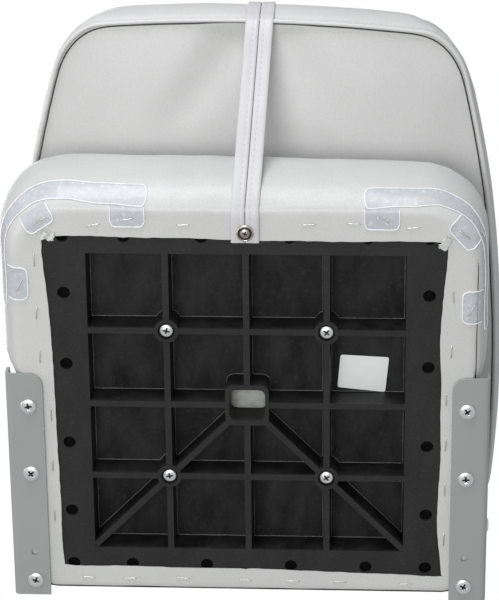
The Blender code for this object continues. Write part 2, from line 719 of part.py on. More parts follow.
def build_brackets(seat, back, bracket_holes, arm_holes):
    """The seat's angles, the backrest's arms, the pivots between them and their screws."""
    bm = bmesh.new()
    cylinder_across(bm, (PIVOT_Y, PIVOT_Z), RIVET_RADIUS + HOLE_CLEARANCE, -EAR_OUTER, 2 * EAR_OUTER, 1)
    bore = add_object("pivot_bore", bm, "steel", seat, smooth=False)
    spares = both_sides(BRACKET_SCREW_X, [SPARE_HOLE_PLACE])
    low, high = Z_FLANGE - OVERRUN / 2, Z_FLANGE + SHEET + OVERRUN / 2
    spare_holes = cylinders("spare_holes", spares, SPARE_HOLE_RADIUS, low, high, seat)
    for side, word in ((-1, "left"), (1, "right")):
        bracket = seat_bracket("seat_bracket_" + word, side, seat)
        for holes in (bore, spare_holes, bracket_holes):
            cut(bracket, holes)
        arm = back_bracket("back_bracket_" + word, side, back)
        cut(arm, bore)
        cut(arm, arm_holes)
        build_pivot(side, word, seat)
        profile = screw_profile(SCREW_HEAD_RADIUS, SCREW_HEAD, SCREW_SHANK_RADIUS, SCREW_SHORT)
        for k, y in enumerate(BRACKET_SCREW_PLACES, start=1):
            place = (side * BRACKET_SCREW_X, y, SCREW_HEAD)
            turned(f"seat_bracket_screw_{word}_{k}", profile, place, "steel", seat)
        profile = screw_profile(SCREW_HEAD_RADIUS, SCREW_HEAD, SCREW_SHANK_RADIUS, ARM_SCREW_LENGTH)
        for k, y in enumerate(ARM_SCREW_PLACES, start=1):
            place = (side * ARM_SCREW_X, y, Z_ARM_TOP - SHEET - GAP)
            turned(f"back_bracket_screw_{word}_{k}", profile, place, "steel", back)


def build_pivot(side, word, body):
    """A rivet through the ear and the arm, with a washer under its outer head."""
    washer_low = EAR_OUTER + GAP
    hole = RIVET_RADIUS + HOLE_CLEARANCE
    ring = [(hole, 0), (WASHER_RADIUS, 0), (WASHER_RADIUS, WASHER_THICK), (hole, WASHER_THICK)]
    place = (side * washer_low, PIVOT_Y, PIVOT_Z)
    turned("pivot_washer_" + word, ring, place, "steel", body, (side, 0, 0), ring=True)
    head = washer_low + WASHER_THICK + GAP
    tail = ARM_OUTER - SHEET - GAP - head
    profile = [
        (0, tail - RIVET_TAIL), (RIVET_HEAD_RADIUS, tail - RIVET_TAIL), (RIVET_HEAD_RADIUS, tail),
        (RIVET_RADIUS, tail), (RIVET_RADIUS, 0), (RIVET_HEAD_RADIUS, 0),
        (DOME_SHARES[1] * RIVET_HEAD_RADIUS, RIVET_HEAD / 2),
        (DOME_SHARES[0] * RIVET_HEAD_RADIUS, RIVET_HEAD), (0, RIVET_HEAD),
    ]
    place = (side * head, PIVOT_Y, PIVOT_Z)
    turned("pivot_rivet_" + word, profile, place, "steel", body, (side, 0, 0))


def build_mounting_screws(body):
    """The screws kept in the bosses for the pedestal's plate."""
    profile = screw_profile(MOUNT_HEAD_RADIUS, MOUNT_HEAD, MOUNT_SHANK_RADIUS, MOUNT_SHANK - GAP)
    seat_face = Z_PAN - BOSS_PROUD + BOSS_RECESS - GAP
    for sy, end in ((-1, "front"), (1, "rear")):
        for sx, word in ((-1, "left"), (1, "right")):
            place = (sx * PITCH, sy * PITCH, seat_face)
            turned(f"mounting_screw_{end}_{word}", profile, place, "steel", body)


def build_corner_guard(side, word, body):
    """A clear strip round a front corner, with three tabs folded under the seat."""
    fine = dict(per_corner=12, per_side=40)
    rows = [seat_ring(share, height, GUARD_LIFT, **fine) for share, height in GUARD_SHARES]
    chosen = [k for k, p in enumerate(rows[0]) if p.x > GUARD_FRONT_X and p.y < -GUARD_SIDE_Y]
    rows = [[row[k] for k in chosen] for row in rows]
    for row in rows[:1]:
        for point in row:
            point.z -= GUARD_LIFT
    columns = rows[0]
    along = [0.0]
    for a, b in zip(columns, columns[1:]):
        along.append(along[-1] + (b - a).length)
    tabs = [any(abs(s - share * along[-1]) < TAB_WIDTH / 2 for share in TAB_SHARES) for s in along]
    bm = bmesh.new()
    grid = [[bm.verts.new(p) for p in row] for row in rows]
    count = len(columns)
    for low, high in zip(grid, grid[1:]):
        for k in range(count - 1):
            bm.faces.new((low[k], low[k + 1], high[k + 1], high[k]))
    under = [None] * count
    for k in range(count):
        if tabs[k]:
            ahead = columns[min(k + 1, count - 1)] - columns[max(k - 1, 0)]
            inwards = Vector((-ahead.y, ahead.x, 0)).normalized()
            under[k] = bm.verts.new(columns[k] + inwards * TAB_LENGTH)
    for k in range(count - 1):
        if tabs[k] and tabs[k + 1]:
            bm.faces.new((grid[0][k + 1], grid[0][k], under[k], under[k + 1]))
    face_out(bm)
    if side < 0:
        bmesh.ops.scale(bm, vec=(-1, 1, 1), verts=bm.verts)
        bmesh.ops.reverse_faces(bm, faces=bm.faces)
    guard = add_object("corner_guard_" + word, bm, "clear_plastic", body, outward=False)
    wall = guard.modifiers.new("thickness", "SOLIDIFY")
    wall.thickness = GUARD_THICK
    wall.offset = 1


def build_backrest(body, arm_holes, anchor_hole):
    """The backrest's board, foam, cover, rear panel and the bead round its face."""
    cover = skin("back_cover", back_rings(), body)
    cut(cover, arm_holes)
    board_top = Z_BACK_REAR - COVER_THICK - GAP
    board_low = board_top - BOARD_THICK
    foam = stuffing("back_foam", back_rings(), body)
    bm = bmesh.new()
    reach = BACK_TOP + BACK_BOTTOM
    box_between(bm, (-reach, -reach, board_low - GAP), (reach, reach, Z_BACK_REAR + OVERRUN))
    cut(foam, add_object("behind_foam", bm, "foam", body, smooth=False))
    cut(foam, arm_holes)
    board = prism("back_frame", back_outline(BOARD_INSET), board_low, board_top, body, "board")
    cut(board, arm_holes)
    cut(board, anchor_hole)
    bm = bmesh.new()
    loops = loft(bm, [back_ring(*place) for place in panel_places()])
    bm.faces.new(loops[0])
    cut(add_object("back_panel", bm, "vinyl", body), anchor_hole)
    build_piping(body)


def piping_centre():
    """Inset and height of the bead's middle, outside the corner between boxing and face."""
    boxing, face = Vector(back_side_places()[-1]), Vector(back_face_places()[0])
    along = (face - boxing).normalized()
    outwards = Vector((along.y, -along.x))
    return (boxing + face) / 2 + outwards * (PIPING_RADIUS + 2 * GAP)


def build_piping(body):
    """The bead sewn round the face, as one closed tube."""
    inset, z = piping_centre()
    curve = bpy.data.curves.new("back_piping", "CURVE")
    curve.dimensions = "3D"
    curve.bevel_depth = PIPING_RADIUS
    curve.bevel_resolution = 2
    spline = curve.splines.new("POLY")
    places = back_ring(inset, z, per_corner=7, per_side=6)
    spline.points.add(len(places) - 1)
    for point, place in zip(spline.points, places):
        point.co = (*(place - body["centre"]), 1)
    spline.use_cyclic_u = True
    curve.materials.append(material("vinyl"))
    bead = bpy.data.objects.new("back_piping", curve)
    bpy.context.scene.collection.objects.link(bead)
    bead.parent = body["empty"]


def hull_path(points):
    """The convex chain of (y, z) points down the front, from the highest to the lowest."""
    chain = []
    for point in sorted(points, key=lambda p: (-p.y, -p.x)):
        while len(chain) > 1 and (chain[-1] - chain[-2]).cross(point - chain[-2]) <= 0:
            chain.pop()
        chain.append(point)
    return chain


def panel_places():
    """Inset and height of each ring of the rear panel, from its lower edge to its crown."""
    low = Z_BACK_REAR + GAP
    crown = [
        (PANEL_INSET + share * BACK_HALF, low + PANEL_THICK + rise * PANEL_CROWN)
        for share, rise in PANEL_SHARES
    ]
    return [(PANEL_INSET, low), (PANEL_INSET, low + PANEL_THICK / 2)] + crown


def strap_path():
    """Inner face of the tight strap, as (y, z) points from behind the backrest to under the seat."""
    behind = panel_places()[:STRAP_PANEL_RINGS]
    obstacles = [Vector((inset - BACK_TOP, z)) for inset, z in behind + back_side_places()]
    inset, z = piping_centre()
    obstacles += arc((inset - BACK_TOP, z), PIPING_RADIUS, 180, 270, CORNER_STEPS)
    for share, height in SEAT_SIDE_SHARES:
        front = SEAT_BASE_FRONT + share * SEAT_BULGE_FRONT
        obstacles.append(Vector((-front, Z_HEM + height * SEAT_HEIGHT)))
    turns = range(90, 360, 30)
    path = hull_path([p + 2 * GAP * direction(turn) for p in obstacles for turn in turns])
    return path + [Vector((-STRAP_END, path[-1].y))]


def strap_height(y):
    """Height of the strap's outer face behind the backrest."""
    (y_a, z_a), (y_b, z_b) = strap_path()[:2]
    return z_a + (z_b - z_a) * (y - y_a) / (y_b - y_a) + STRAP_THICK


def build_strap(body, holes):
    """The hold-down strap: a flat band along its path, leaning aside towards the backrest's top."""
    bm = bmesh.new()
    rows = []
    for y, z in strap_path():
        lean = STRAP_LEAN * min(max((-y - SEAT_BASE_FRONT) / (BACK_TOP - SEAT_BASE_FRONT), 0), 1)
        rows.append([
            bm.verts.new((lean + side * STRAP_WIDTH / 2, y, z)) for side in (-1, 1)
        ])
    for a, b in zip(rows, rows[1:]):
        bm.faces.new((a[0], a[1], b[1], b[0]))
    bmesh.ops.recalc_face_normals(bm, faces=bm.faces)
    bm.faces.ensure_lookup_table()
    if bm.faces[-1].normal.z > 0:
        bmesh.ops.reverse_faces(bm, faces=bm.faces)
    strap = add_object("hold_down_strap", bm, "vinyl", body, outward=False)
    wall = strap.modifiers.new("thickness", "SOLIDIFY")
    wall.thickness = STRAP_THICK
    wall.offset = 1
    wall.use_even_offset = True
    for hole in holes:
        cut(strap, hole)


def strap_fixing(name, place, along, shank, body):
    """A cup washer and the screw whose head sits in it, from the strap's outer face."""
    hole = STRAP_SHANK_RADIUS + HOLE_CLEARANCE
    mouth = STRAP_SCREW_HEAD_RADIUS + GAP
    outer, thick = STRAP_WASHER_RADIUS, STRAP_WASHER_THICK
    ring = [
        (hole, GAP), (outer, GAP), (outer, GAP + thick / 3), (outer - thick / 3, GAP + thick),
        (mouth, GAP + thick),
    ]
    turned(name + "_washer", ring, place, "steel", body, along, ring=True)
    top = GAP + thick + GAP
    profile = [
        (0, -shank), (STRAP_SHANK_RADIUS, -shank), (STRAP_SHANK_RADIUS, 2 * GAP),
        (STRAP_SCREW_HEAD_RADIUS, top - GAP), (DOME_SHARES[1] * STRAP_SCREW_HEAD_RADIUS, top + GAP),
        (0, top + GAP),
    ]
    turned(name + "_screw", profile, place, "steel", body, along)


def build():
    """Remove what the scene holds and build the seat."""
    for obj in list(bpy.data.objects):
        bpy.data.objects.remove(obj)
    seat = add_body("seat_body", Vector((0, 0, 0)))
    back = add_body("backrest_body", Vector((0, PIVOT_Y, PIVOT_Z)), seat)
    bracket_holes = cylinders(
        "bracket_holes", both_sides(BRACKET_SCREW_X, BRACKET_SCREW_PLACES),
        SCREW_SHANK_RADIUS + HOLE_CLEARANCE, -OVERRUN, Z_BORDER_TOP + OVERRUN, seat,
    )
    strap_hole = cylinders(
        "strap_hole", [(0, -STRAP_SCREW_Y)], STRAP_SHANK_RADIUS + HOLE_CLEARANCE,
        -OVERRUN, Z_BORDER_TOP + OVERRUN, seat,
    )
    cut_pan = build_pan(seat, bracket_holes)
    cut(cut_pan, strap_hole)
    build_seat_cushion(seat, bracket_holes)
    cut(bpy.data.objects["seat_cover"], strap_hole)
    arm_holes = cylinders(
        "arm_holes", both_sides(ARM_SCREW_X, ARM_SCREW_PLACES), SCREW_SHANK_RADIUS + HOLE_CLEARANCE,
        Z_ARM_TOP - SHEET - OVERRUN, Z_ARM_TOP - SHEET + ARM_SCREW_LENGTH, back,
    )
    strap_top = strap_height(STRAP_WASHER_RADIUS - STRAP_ANCHOR_Y)
    lean = STRAP_LEAN * (STRAP_ANCHOR_Y - SEAT_BASE_FRONT) / (BACK_TOP - SEAT_BASE_FRONT)
    anchor_hole = cylinders(
        "anchor_hole", [(lean, -STRAP_ANCHOR_Y)], STRAP_SHANK_RADIUS + HOLE_CLEARANCE,
        strap_top - ANCHOR_SHANK - GAP, strap_top + OVERRUN, back,
    )
    build_backrest(back, arm_holes, anchor_hole)
    build_brackets(seat, back, bracket_holes, arm_holes)
    build_mounting_screws(seat)
    for side, word in ((-1, "left"), (1, "right")):
        build_corner_guard(side, word, seat)
    build_strap(back, (strap_hole, anchor_hole))
    under = (0, -STRAP_SCREW_Y, strap_path()[-1].y - STRAP_THICK)
    strap_fixing("strap", under, (0, 0, -1), SCREW_SHORT, seat)
    behind = (lean, -STRAP_ANCHOR_Y, strap_top)
    strap_fixing("strap_anchor", behind, (0, 0, 1), ANCHOR_SHANK - GAP, back)


build()
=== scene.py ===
"""Folding boat seat, folded flat and seen from underneath: the dressed model over the CAD frame.

Every length is in metres. Sizes inside the classes are measured from the middle of the four
mounting screws, with y towards the hinges and z up from the floor; `Workshop` moves a finished
mesh to its place in the frame.
"""

from __future__ import annotations

import json
import logging
import math
from collections.abc import Callable
from dataclasses import dataclass, field
from enum import Enum
from typing import ClassVar

import bmesh
import bpy
from mathutils import Matrix, Vector, geometry, kdtree, noise
from mathutils.bvhtree import BVHTree

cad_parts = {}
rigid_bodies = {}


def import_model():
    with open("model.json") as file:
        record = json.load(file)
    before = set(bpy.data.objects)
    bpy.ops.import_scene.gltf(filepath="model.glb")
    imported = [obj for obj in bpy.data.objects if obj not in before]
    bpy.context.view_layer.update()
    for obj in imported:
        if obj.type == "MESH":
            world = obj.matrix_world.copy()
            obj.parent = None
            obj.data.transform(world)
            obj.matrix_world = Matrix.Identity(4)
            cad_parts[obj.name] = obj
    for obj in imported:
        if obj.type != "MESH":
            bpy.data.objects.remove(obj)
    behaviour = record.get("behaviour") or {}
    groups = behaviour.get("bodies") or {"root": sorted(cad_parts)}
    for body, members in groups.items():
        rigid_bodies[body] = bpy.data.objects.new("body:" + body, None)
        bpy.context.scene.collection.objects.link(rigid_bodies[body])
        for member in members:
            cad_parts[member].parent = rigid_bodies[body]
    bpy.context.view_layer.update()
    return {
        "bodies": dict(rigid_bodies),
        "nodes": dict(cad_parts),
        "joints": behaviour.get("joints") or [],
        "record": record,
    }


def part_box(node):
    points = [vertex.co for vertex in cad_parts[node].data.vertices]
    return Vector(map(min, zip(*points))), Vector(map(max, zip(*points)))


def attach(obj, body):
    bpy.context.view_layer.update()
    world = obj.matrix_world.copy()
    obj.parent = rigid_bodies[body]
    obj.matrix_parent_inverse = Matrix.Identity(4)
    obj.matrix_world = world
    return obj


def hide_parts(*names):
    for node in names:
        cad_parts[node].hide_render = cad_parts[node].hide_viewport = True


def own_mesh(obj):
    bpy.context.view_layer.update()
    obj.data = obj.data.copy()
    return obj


log = logging.getLogger("boat_seat")

Point = tuple[float, float]
Place = tuple[float, float, float]
Colour = tuple[float, float, float]


class Body(Enum):
    """The two rigid bodies of the folding seat."""

    SEAT = "seat"
    BACKREST = "backrest"


class Side(Enum):
    """Left and right of the seat, with their sign along X."""

    LEFT = -1
    RIGHT = 1

    @property
    def word(self) -> str:
        """The side's name in lower case, as node names use it."""
        return self.name.lower()


# Shader groups


class NodeSheet:
    """A short way to place and join nodes in one node tree."""

    def __init__(self, tree: bpy.types.NodeTree) -> None:
        """Keep the tree that nodes go into.

        Args:
            tree: A material's or a group's node tree.
        """
        self.tree = tree

    def node(self, kind: str, **values: object) -> bpy.types.Node:
        """Place a node and set its properties or the default values of its sockets.

        Args:
            kind: The node's type name.
            **values: Property names, or socket names with spaces written as underscores.

        Returns:
            The new node.
        """
        made = self.tree.nodes.new(kind)
        for key, value in values.items():
            if hasattr(made, key):
                setattr(made, key, value)
            else:
                made.inputs[key.replace("_", " ")].default_value = value
        return made

    def join(self, source: bpy.types.NodeSocket, target: bpy.types.NodeSocket) -> None:
        """Link an output socket to an input socket."""
        self.tree.links.new(source, target)

    def feed(self, value: object, target: bpy.types.NodeSocket) -> None:
        """Give an input a link, or a value of its own.

        Args:
            value: A socket, a number or a colour.
            target: The input socket.
        """
        if isinstance(value, bpy.types.NodeSocket):
            self.join(value, target)
        else:
            target.default_value = value

    def mix(self, factor: object, dark: object, light: object) -> bpy.types.NodeSocket:
        """Blend two colours by a factor.

        Args:
            factor: A socket or a number.
            dark: The colour at factor 0, as a socket or as three numbers.
            light: The colour at factor 1, likewise.

        Returns:
            The mixed colour's socket.
        """
        made = self.node("ShaderNodeMix", data_type="RGBA")
        for value, place in ((factor, 0), (dark, 6), (light, 7)):
            self.feed((*value, 1.0) if isinstance(value, tuple) else value, made.inputs[place])
        return made.outputs[2]

    def sum(self, kind: str, first: object, second: object) -> bpy.types.NodeSocket:
        """Apply a math operation to two sockets or numbers.

        Args:
            kind: The operation's name, such as "MULTIPLY".
            first: The left operand.
            second: The right operand.

        Returns:
            The result's socket.
        """
        made = self.node("ShaderNodeMath", operation=kind)
        self.feed(first, made.inputs[0])
        self.feed(second, made.inputs[1])
        return made.outputs[0]

    def spread(self, value: bpy.types.NodeSocket, low: float, high: float, to_low: float = 0.0,
               to_high: float = 1.0) -> bpy.types.NodeSocket:
        """Map a value's range onto another and hold it there.

        Args:
            value: The socket to map.
            low: Value that becomes to_low.
            high: Value that becomes to_high.
            to_low: Lower result.
            to_high: Upper result.

        Returns:
            The mapped socket.
        """
        made = self.node("ShaderNodeMapRange", clamp=True)
        self.join(value, made.inputs[0])
        for place, number in enumerate((low, high, to_low, to_high), start=1):
            made.inputs[place].default_value = number
        return made.outputs[0]


class GroupLibrary:
    """Shader groups that several finishes use, each built once with named sockets."""

    def __init__(self) -> None:
        """Start with no group built."""
        self.built: dict[str, bpy.types.NodeTree] = {}

    def start(self, name: str, inputs: dict[str, float], outputs: tuple[str, ...]
              ) -> tuple[NodeSheet, bpy.types.Node, bpy.types.Node]:
        """Open a new group.

        Args:
            name: The group's name.
            inputs: Names and default values of its float inputs.
            outputs: Names of its float outputs.

        Returns:
            The sheet to draw on, the group's input node and its output node.
        """
        tree = bpy.data.node_groups.new(name, "ShaderNodeTree")
        for key, value in inputs.items():
            socket = tree.interface.new_socket(key, in_out="INPUT", socket_type="NodeSocketFloat")
            socket.default_value = value
        for key in outputs:
            tree.interface.new_socket(key, in_out="OUTPUT", socket_type="NodeSocketFloat")
        self.built[name] = tree
        sheet = NodeSheet(tree)
        return sheet, sheet.node("NodeGroupInput"), sheet.node("NodeGroupOutput")

    def grain(self) -> bpy.types.NodeTree:
        """Embossed grain of vinyl: small soft pebbles with a little unevenness between them.

        Returns:
            A group with the inputs Size and Softness and the outputs Height and Patches.
        """
        if "grain" in self.built:
            return self.built["grain"]
        sheet, into, out = self.start("grain", {"Size": 700.0, "Softness": 0.7}, ("Height", "Patches"))
        where = sheet.node("ShaderNodeTexCoord")
        pebbles = sheet.node("ShaderNodeTexVoronoi", feature="SMOOTH_F1")
        sheet.join(where.outputs["Object"], pebbles.inputs["Vector"])
        sheet.join(into.outputs["Size"], pebbles.inputs["Scale"])
        sheet.join(into.outputs["Softness"], pebbles.inputs["Smoothness"])
        fine = sheet.node("ShaderNodeTexNoise", Detail=3.0, Roughness=0.6)
        sheet.join(where.outputs["Object"], fine.inputs["Vector"])
        sheet.join(sheet.sum("MULTIPLY", into.outputs["Size"], 2.3), fine.inputs["Scale"])
        height = sheet.sum("ADD", pebbles.outputs["Distance"],
                           sheet.sum("MULTIPLY", fine.outputs["Fac"], 0.5))
        sheet.join(height, out.inputs["Height"])
        patches = sheet.node("ShaderNodeTexNoise", Scale=14.0, Detail=3.0, Roughness=0.5)
        sheet.join(where.outputs["Object"], patches.inputs["Vector"])
        sheet.join(sheet.spread(patches.outputs["Fac"], 0.3, 0.7), out.inputs["Patches"])
        return self.built["grain"]

    def mottle(self) -> bpy.types.NodeTree:
        """Cloudy flow marks and fine specks of moulded or painted surfaces.

        Returns:
            A group with the inputs Clouds, Specks and Stretch and the outputs Cloud, Speck and Height.
        """
        if "mottle" in self.built:
            return self.built["mottle"]
        sheet, into, out = self.start(
            "mottle", {"Clouds": 40.0, "Specks": 500.0, "Stretch": 1.0}, ("Cloud", "Speck", "Height"))
        where = sheet.node("ShaderNodeTexCoord")
        drawn = sheet.node("ShaderNodeMapping", vector_type="POINT")
        sheet.join(where.outputs["Object"], drawn.inputs["Vector"])
        drawn.inputs["Rotation"].default_value = (0.0, 0.0, 0.6)
        stretch = sheet.node("ShaderNodeCombineXYZ", X=1.0, Z=1.0)
        sheet.join(into.outputs["Stretch"], stretch.inputs["Y"])
        sheet.join(stretch.outputs[0], drawn.inputs["Scale"])
        clouds = sheet.node("ShaderNodeTexNoise", Detail=5.0, Roughness=0.6)
        sheet.join(drawn.outputs[0], clouds.inputs["Vector"])
        sheet.join(into.outputs["Clouds"], clouds.inputs["Scale"])
        specks = sheet.node("ShaderNodeTexNoise", Detail=2.0, Roughness=0.7)
        sheet.join(where.outputs["Object"], specks.inputs["Vector"])
        sheet.join(into.outputs["Specks"], specks.inputs["Scale"])
        sheet.join(sheet.spread(clouds.outputs["Fac"], 0.34, 0.66), out.inputs["Cloud"])
        sheet.join(sheet.spread(specks.outputs["Fac"], 0.56, 0.72), out.inputs["Speck"])
        sheet.join(specks.outputs["Fac"], out.inputs["Height"])
        return self.built["mottle"]


GROUPS = GroupLibrary()


# Finishes


@dataclass(frozen=True)
class Finish:
    """A named surface: its shader's plain settings, and the pattern that a subclass adds."""

    name: str
    slot: str
    colour: Colour
    roughness: float

    def material(self) -> bpy.types.Material:
        """The finish's material, made once.

        Returns:
            The Blender material.
        """
        found = bpy.data.materials.get(self.name)
        if found:
            return found
        made = bpy.data.materials.new(self.name)
        made.use_nodes = True
        made.diffuse_color = (*self.colour, 1.0)
        sheet = NodeSheet(made.node_tree)
        shader = made.node_tree.nodes["Principled BSDF"]
        shader.inputs["Base Color"].default_value = (*self.colour, 1.0)
        shader.inputs["Roughness"].default_value = self.roughness
        self.dress(sheet, shader)
        return made

    def dress(self, sheet: NodeSheet, shader: bpy.types.Node) -> None:
        """Add the finish's own pattern to its shader."""

    def place(self, sheet: NodeSheet, tree: bpy.types.NodeTree, **values: float) -> bpy.types.Node:
        """Place a shared group in the material.

        Args:
            sheet: The material's sheet.
            tree: The group.
            **values: The group's inputs.

        Returns:
            The group node.
        """
        made = sheet.node("ShaderNodeGroup", node_tree=tree)
        for key, value in values.items():
            made.inputs[key].default_value = value
        return made

    def bump(self, sheet: NodeSheet, shader: bpy.types.Node, height: bpy.types.NodeSocket,
             strength: float, distance: float) -> None:
        """Feed a height into the shader's normal.

        Args:
            sheet: The material's sheet.
            shader: The Principled node.
            height: The height's socket.
            strength: How much of the bump shows.
            distance: The bump's depth in metres.
        """
        made = sheet.node("ShaderNodeBump", Strength=strength, Distance=distance)
        sheet.join(height, made.inputs["Height"])
        sheet.join(made.outputs[0], shader.inputs["Normal"])


@dataclass(frozen=True)
class Vinyl(Finish):
    """Upholstery vinyl with an embossed grain and faintly uneven colour."""

    shade: Colour = (0.5, 0.5, 0.5)
    grain: float = 700.0
    depth: float = 0.00012

    def dress(self, sheet: NodeSheet, shader: bpy.types.Node) -> None:
        """Add the grain, the uneven tone, painted shade in the grain's hollows, and the grain's gloss."""
        grain = self.place(sheet, GROUPS.grain(), Size=self.grain)
        tone = sheet.mix(grain.outputs["Patches"], self.shade, self.colour)
        # the grain's low points are multiplied darker: painted shade in its hollows
        painted_hollow_shade = sheet.spread(grain.outputs["Height"], 0.25, 0.75, 0.9, 1.0)
        toned = sheet.node("ShaderNodeMix", data_type="RGBA", blend_type="MULTIPLY")
        toned.inputs[0].default_value = 1.0
        sheet.join(tone, toned.inputs[6])
        sheet.join(painted_hollow_shade, toned.inputs[7])
        sheet.join(toned.outputs[2], shader.inputs["Base Color"])
        rough = sheet.spread(grain.outputs["Height"], 0.2, 0.8, self.roughness + 0.08, self.roughness - 0.06)
        sheet.join(rough, shader.inputs["Roughness"])
        shader.inputs["Sheen Weight"].default_value = 0.06
        self.bump(sheet, shader, grain.outputs["Height"], 0.35, self.depth)


@dataclass(frozen=True)
class Moulded(Finish):
    """Moulded plastic with flow marks, specks and a fine skin."""

    light: Colour = (0.1, 0.1, 0.1)
    clouds: float = 30.0
    specks: float = 420.0
    stretch: float = 0.45
    depth: float = 0.0002
    fleck: float = 0.35
    shine: float = 0.5
    worn: Point | None = None

    def dress(self, sheet: NodeSheet, shader: bpy.types.Node) -> None:
        """Add the flow marks, the specks, the skin's bump, and a lighter tone below a height."""
        marks = self.place(sheet, GROUPS.mottle(), Clouds=self.clouds, Specks=self.specks,
                           Stretch=self.stretch)
        tone = sheet.mix(marks.outputs["Cloud"], self.colour, self.light)
        # lighter below a height: partly rubbed wear on the rib tops, partly painted shade that leaves the
        # deeper pockets darker
        if self.worn:
            place = sheet.node("ShaderNodeSeparateXYZ")
            sheet.join(sheet.node("ShaderNodeTexCoord").outputs["Object"], place.inputs[0])
            worn = sheet.spread(place.outputs["Z"], *self.worn, 0.75, 0.0)
            tone = sheet.mix(worn, tone, self.light)
        specks = sheet.sum("MULTIPLY", marks.outputs["Speck"], self.fleck)
        tone = sheet.mix(specks, tone, tuple(min(1.0, 2.2 * c) for c in self.light))
        sheet.join(tone, shader.inputs["Base Color"])
        rough = sheet.spread(marks.outputs["Cloud"], 0.0, 1.0, self.roughness - 0.07, self.roughness + 0.08)
        sheet.join(rough, shader.inputs["Roughness"])
        shader.inputs["Specular IOR Level"].default_value = self.shine
        self.bump(sheet, shader, marks.outputs["Height"], 0.4, self.depth)


@dataclass(frozen=True)
class Plated(Finish):
    """Bright plated steel with faint handling marks."""

    tint: Colour = (0.5, 0.5, 0.5)

    def dress(self, sheet: NodeSheet, shader: bpy.types.Node) -> None:
        """Make the metal and its uneven gloss."""
        marks = self.place(sheet, GROUPS.mottle(), Clouds=160.0, Specks=1600.0, Stretch=1.0)
        sheet.join(sheet.mix(marks.outputs["Cloud"], self.tint, self.colour), shader.inputs["Base Color"])
        rough = sheet.spread(marks.outputs["Speck"], 0.0, 1.0, self.roughness, self.roughness + 0.15)
        sheet.join(rough, shader.inputs["Roughness"])
        shader.inputs["Metallic"].default_value = 1.0


@dataclass(frozen=True)
class ClearFilm(Finish):
    """Milky clear plastic sheet, denser in soft random clouds."""

    alpha: float = 0.6

    def dress(self, sheet: NodeSheet, shader: bpy.types.Node) -> None:
        """Make the film let some of what lies under it through."""
        marks = self.place(sheet, GROUPS.mottle(), Clouds=70.0, Specks=300.0, Stretch=0.4)
        veil = sheet.spread(marks.outputs["Cloud"], 0.0, 1.0, self.alpha - 0.1, self.alpha + 0.12)
        sheet.join(veil, shader.inputs["Alpha"])
        tone = sheet.mix(marks.outputs["Speck"], self.colour, (0.95, 0.95, 0.99))
        sheet.join(tone, shader.inputs["Base Color"])
        self.bump(sheet, shader, marks.outputs["Cloud"], 0.25, 0.0006)


@dataclass(frozen=True)
class Fibrous(Finish):
    """Foam, board or paper: a matt surface with a soft tooth."""

    shade: Colour = (0.4, 0.4, 0.4)
    tooth: float = 900.0
    depth: float = 0.0004
    stretch: float = 1.0

    def dress(self, sheet: NodeSheet, shader: bpy.types.Node) -> None:
        """Add the tooth and its tone."""
        marks = self.place(sheet, GROUPS.mottle(), Clouds=self.tooth / 8, Specks=self.tooth,
                           Stretch=self.stretch)
        sheet.join(sheet.mix(marks.outputs["Cloud"], self.shade, self.colour), shader.inputs["Base Color"])
        self.bump(sheet, shader, marks.outputs["Height"], 0.5, self.depth)


VINYL = Vinyl("vinyl_light_grey", "vinyl", (0.60, 0.605, 0.595), 0.46, shade=(0.565, 0.57, 0.56))
BACKING = Vinyl("vinyl_turned_hem", "vinyl", (0.60, 0.61, 0.59), 0.5, shade=(0.55, 0.56, 0.54),
                grain=900.0, depth=0.00008)
BEADING = Vinyl("vinyl_beading", "vinyl", (0.64, 0.64, 0.635), 0.42, shade=(0.6, 0.6, 0.595),
                grain=1100.0, depth=0.00006)
# the strap's grey is the vinyl's own; its slight lilac tint is painted light, the lilac of the light from the
# front
STRAP_VINYL_PAINTED_LILAC = Vinyl("vinyl_strap", "vinyl", (0.60, 0.595, 0.607), 0.45, shade=(0.56, 0.555, 0.567),
                  grain=900.0, depth=0.0001)
# near-black, under the strap's slit and in the backrest's seam valley: painted shade
SLIT_AND_SEAM_SHADE = Vinyl("strap_core", "vinyl", (0.06, 0.06, 0.065), 0.7, shade=(0.04, 0.04, 0.045), grain=900.0)
# the pan turns lighter towards its rib tops: partly rubbed wear, partly painted shade of the deep pockets
BLACK = Moulded("moulded_black", "black_plastic", (0.0055, 0.0055, 0.0057), 0.48,
                light=(0.023, 0.023, 0.0235), shine=0.22, clouds=55.0, worn=(0.0075, 0.010))
# lighter lines swept along the pockets' inner corners: painted highlight of the fillets
FILLET_HIGHLIGHT = Moulded("rubbed_black", "black_plastic", (0.05, 0.05, 0.051), 0.4, light=(0.15, 0.15, 0.152),
                 clouds=60.0)
# near-black discs down in the moulding holes: painted shade
HOLE_SHADE = Moulded("painted_hole_shade", "black_plastic", (0.0015, 0.0015, 0.0015), 0.8,
                     light=(0.002, 0.002, 0.002), shine=0.1)
PAINT = Moulded("bracket_grey_paint", "grey_paint", (0.312, 0.326, 0.321), 0.40, light=(0.328, 0.342, 0.337),
                clouds=9.0, specks=900.0, stretch=1.0, depth=0.00005, fleck=0.02)
PLATE = Plated("plated_steel", "steel", (0.95, 0.95, 0.95), 0.3, tint=(0.86, 0.86, 0.87))
WIRE = Plated("staple_wire", "steel", (0.72, 0.71, 0.69), 0.4, tint=(0.60, 0.59, 0.57))
NICKEL = Plated("strap_cup_nickel", "steel", (0.74, 0.71, 0.62), 0.26, tint=(0.56, 0.52, 0.44))
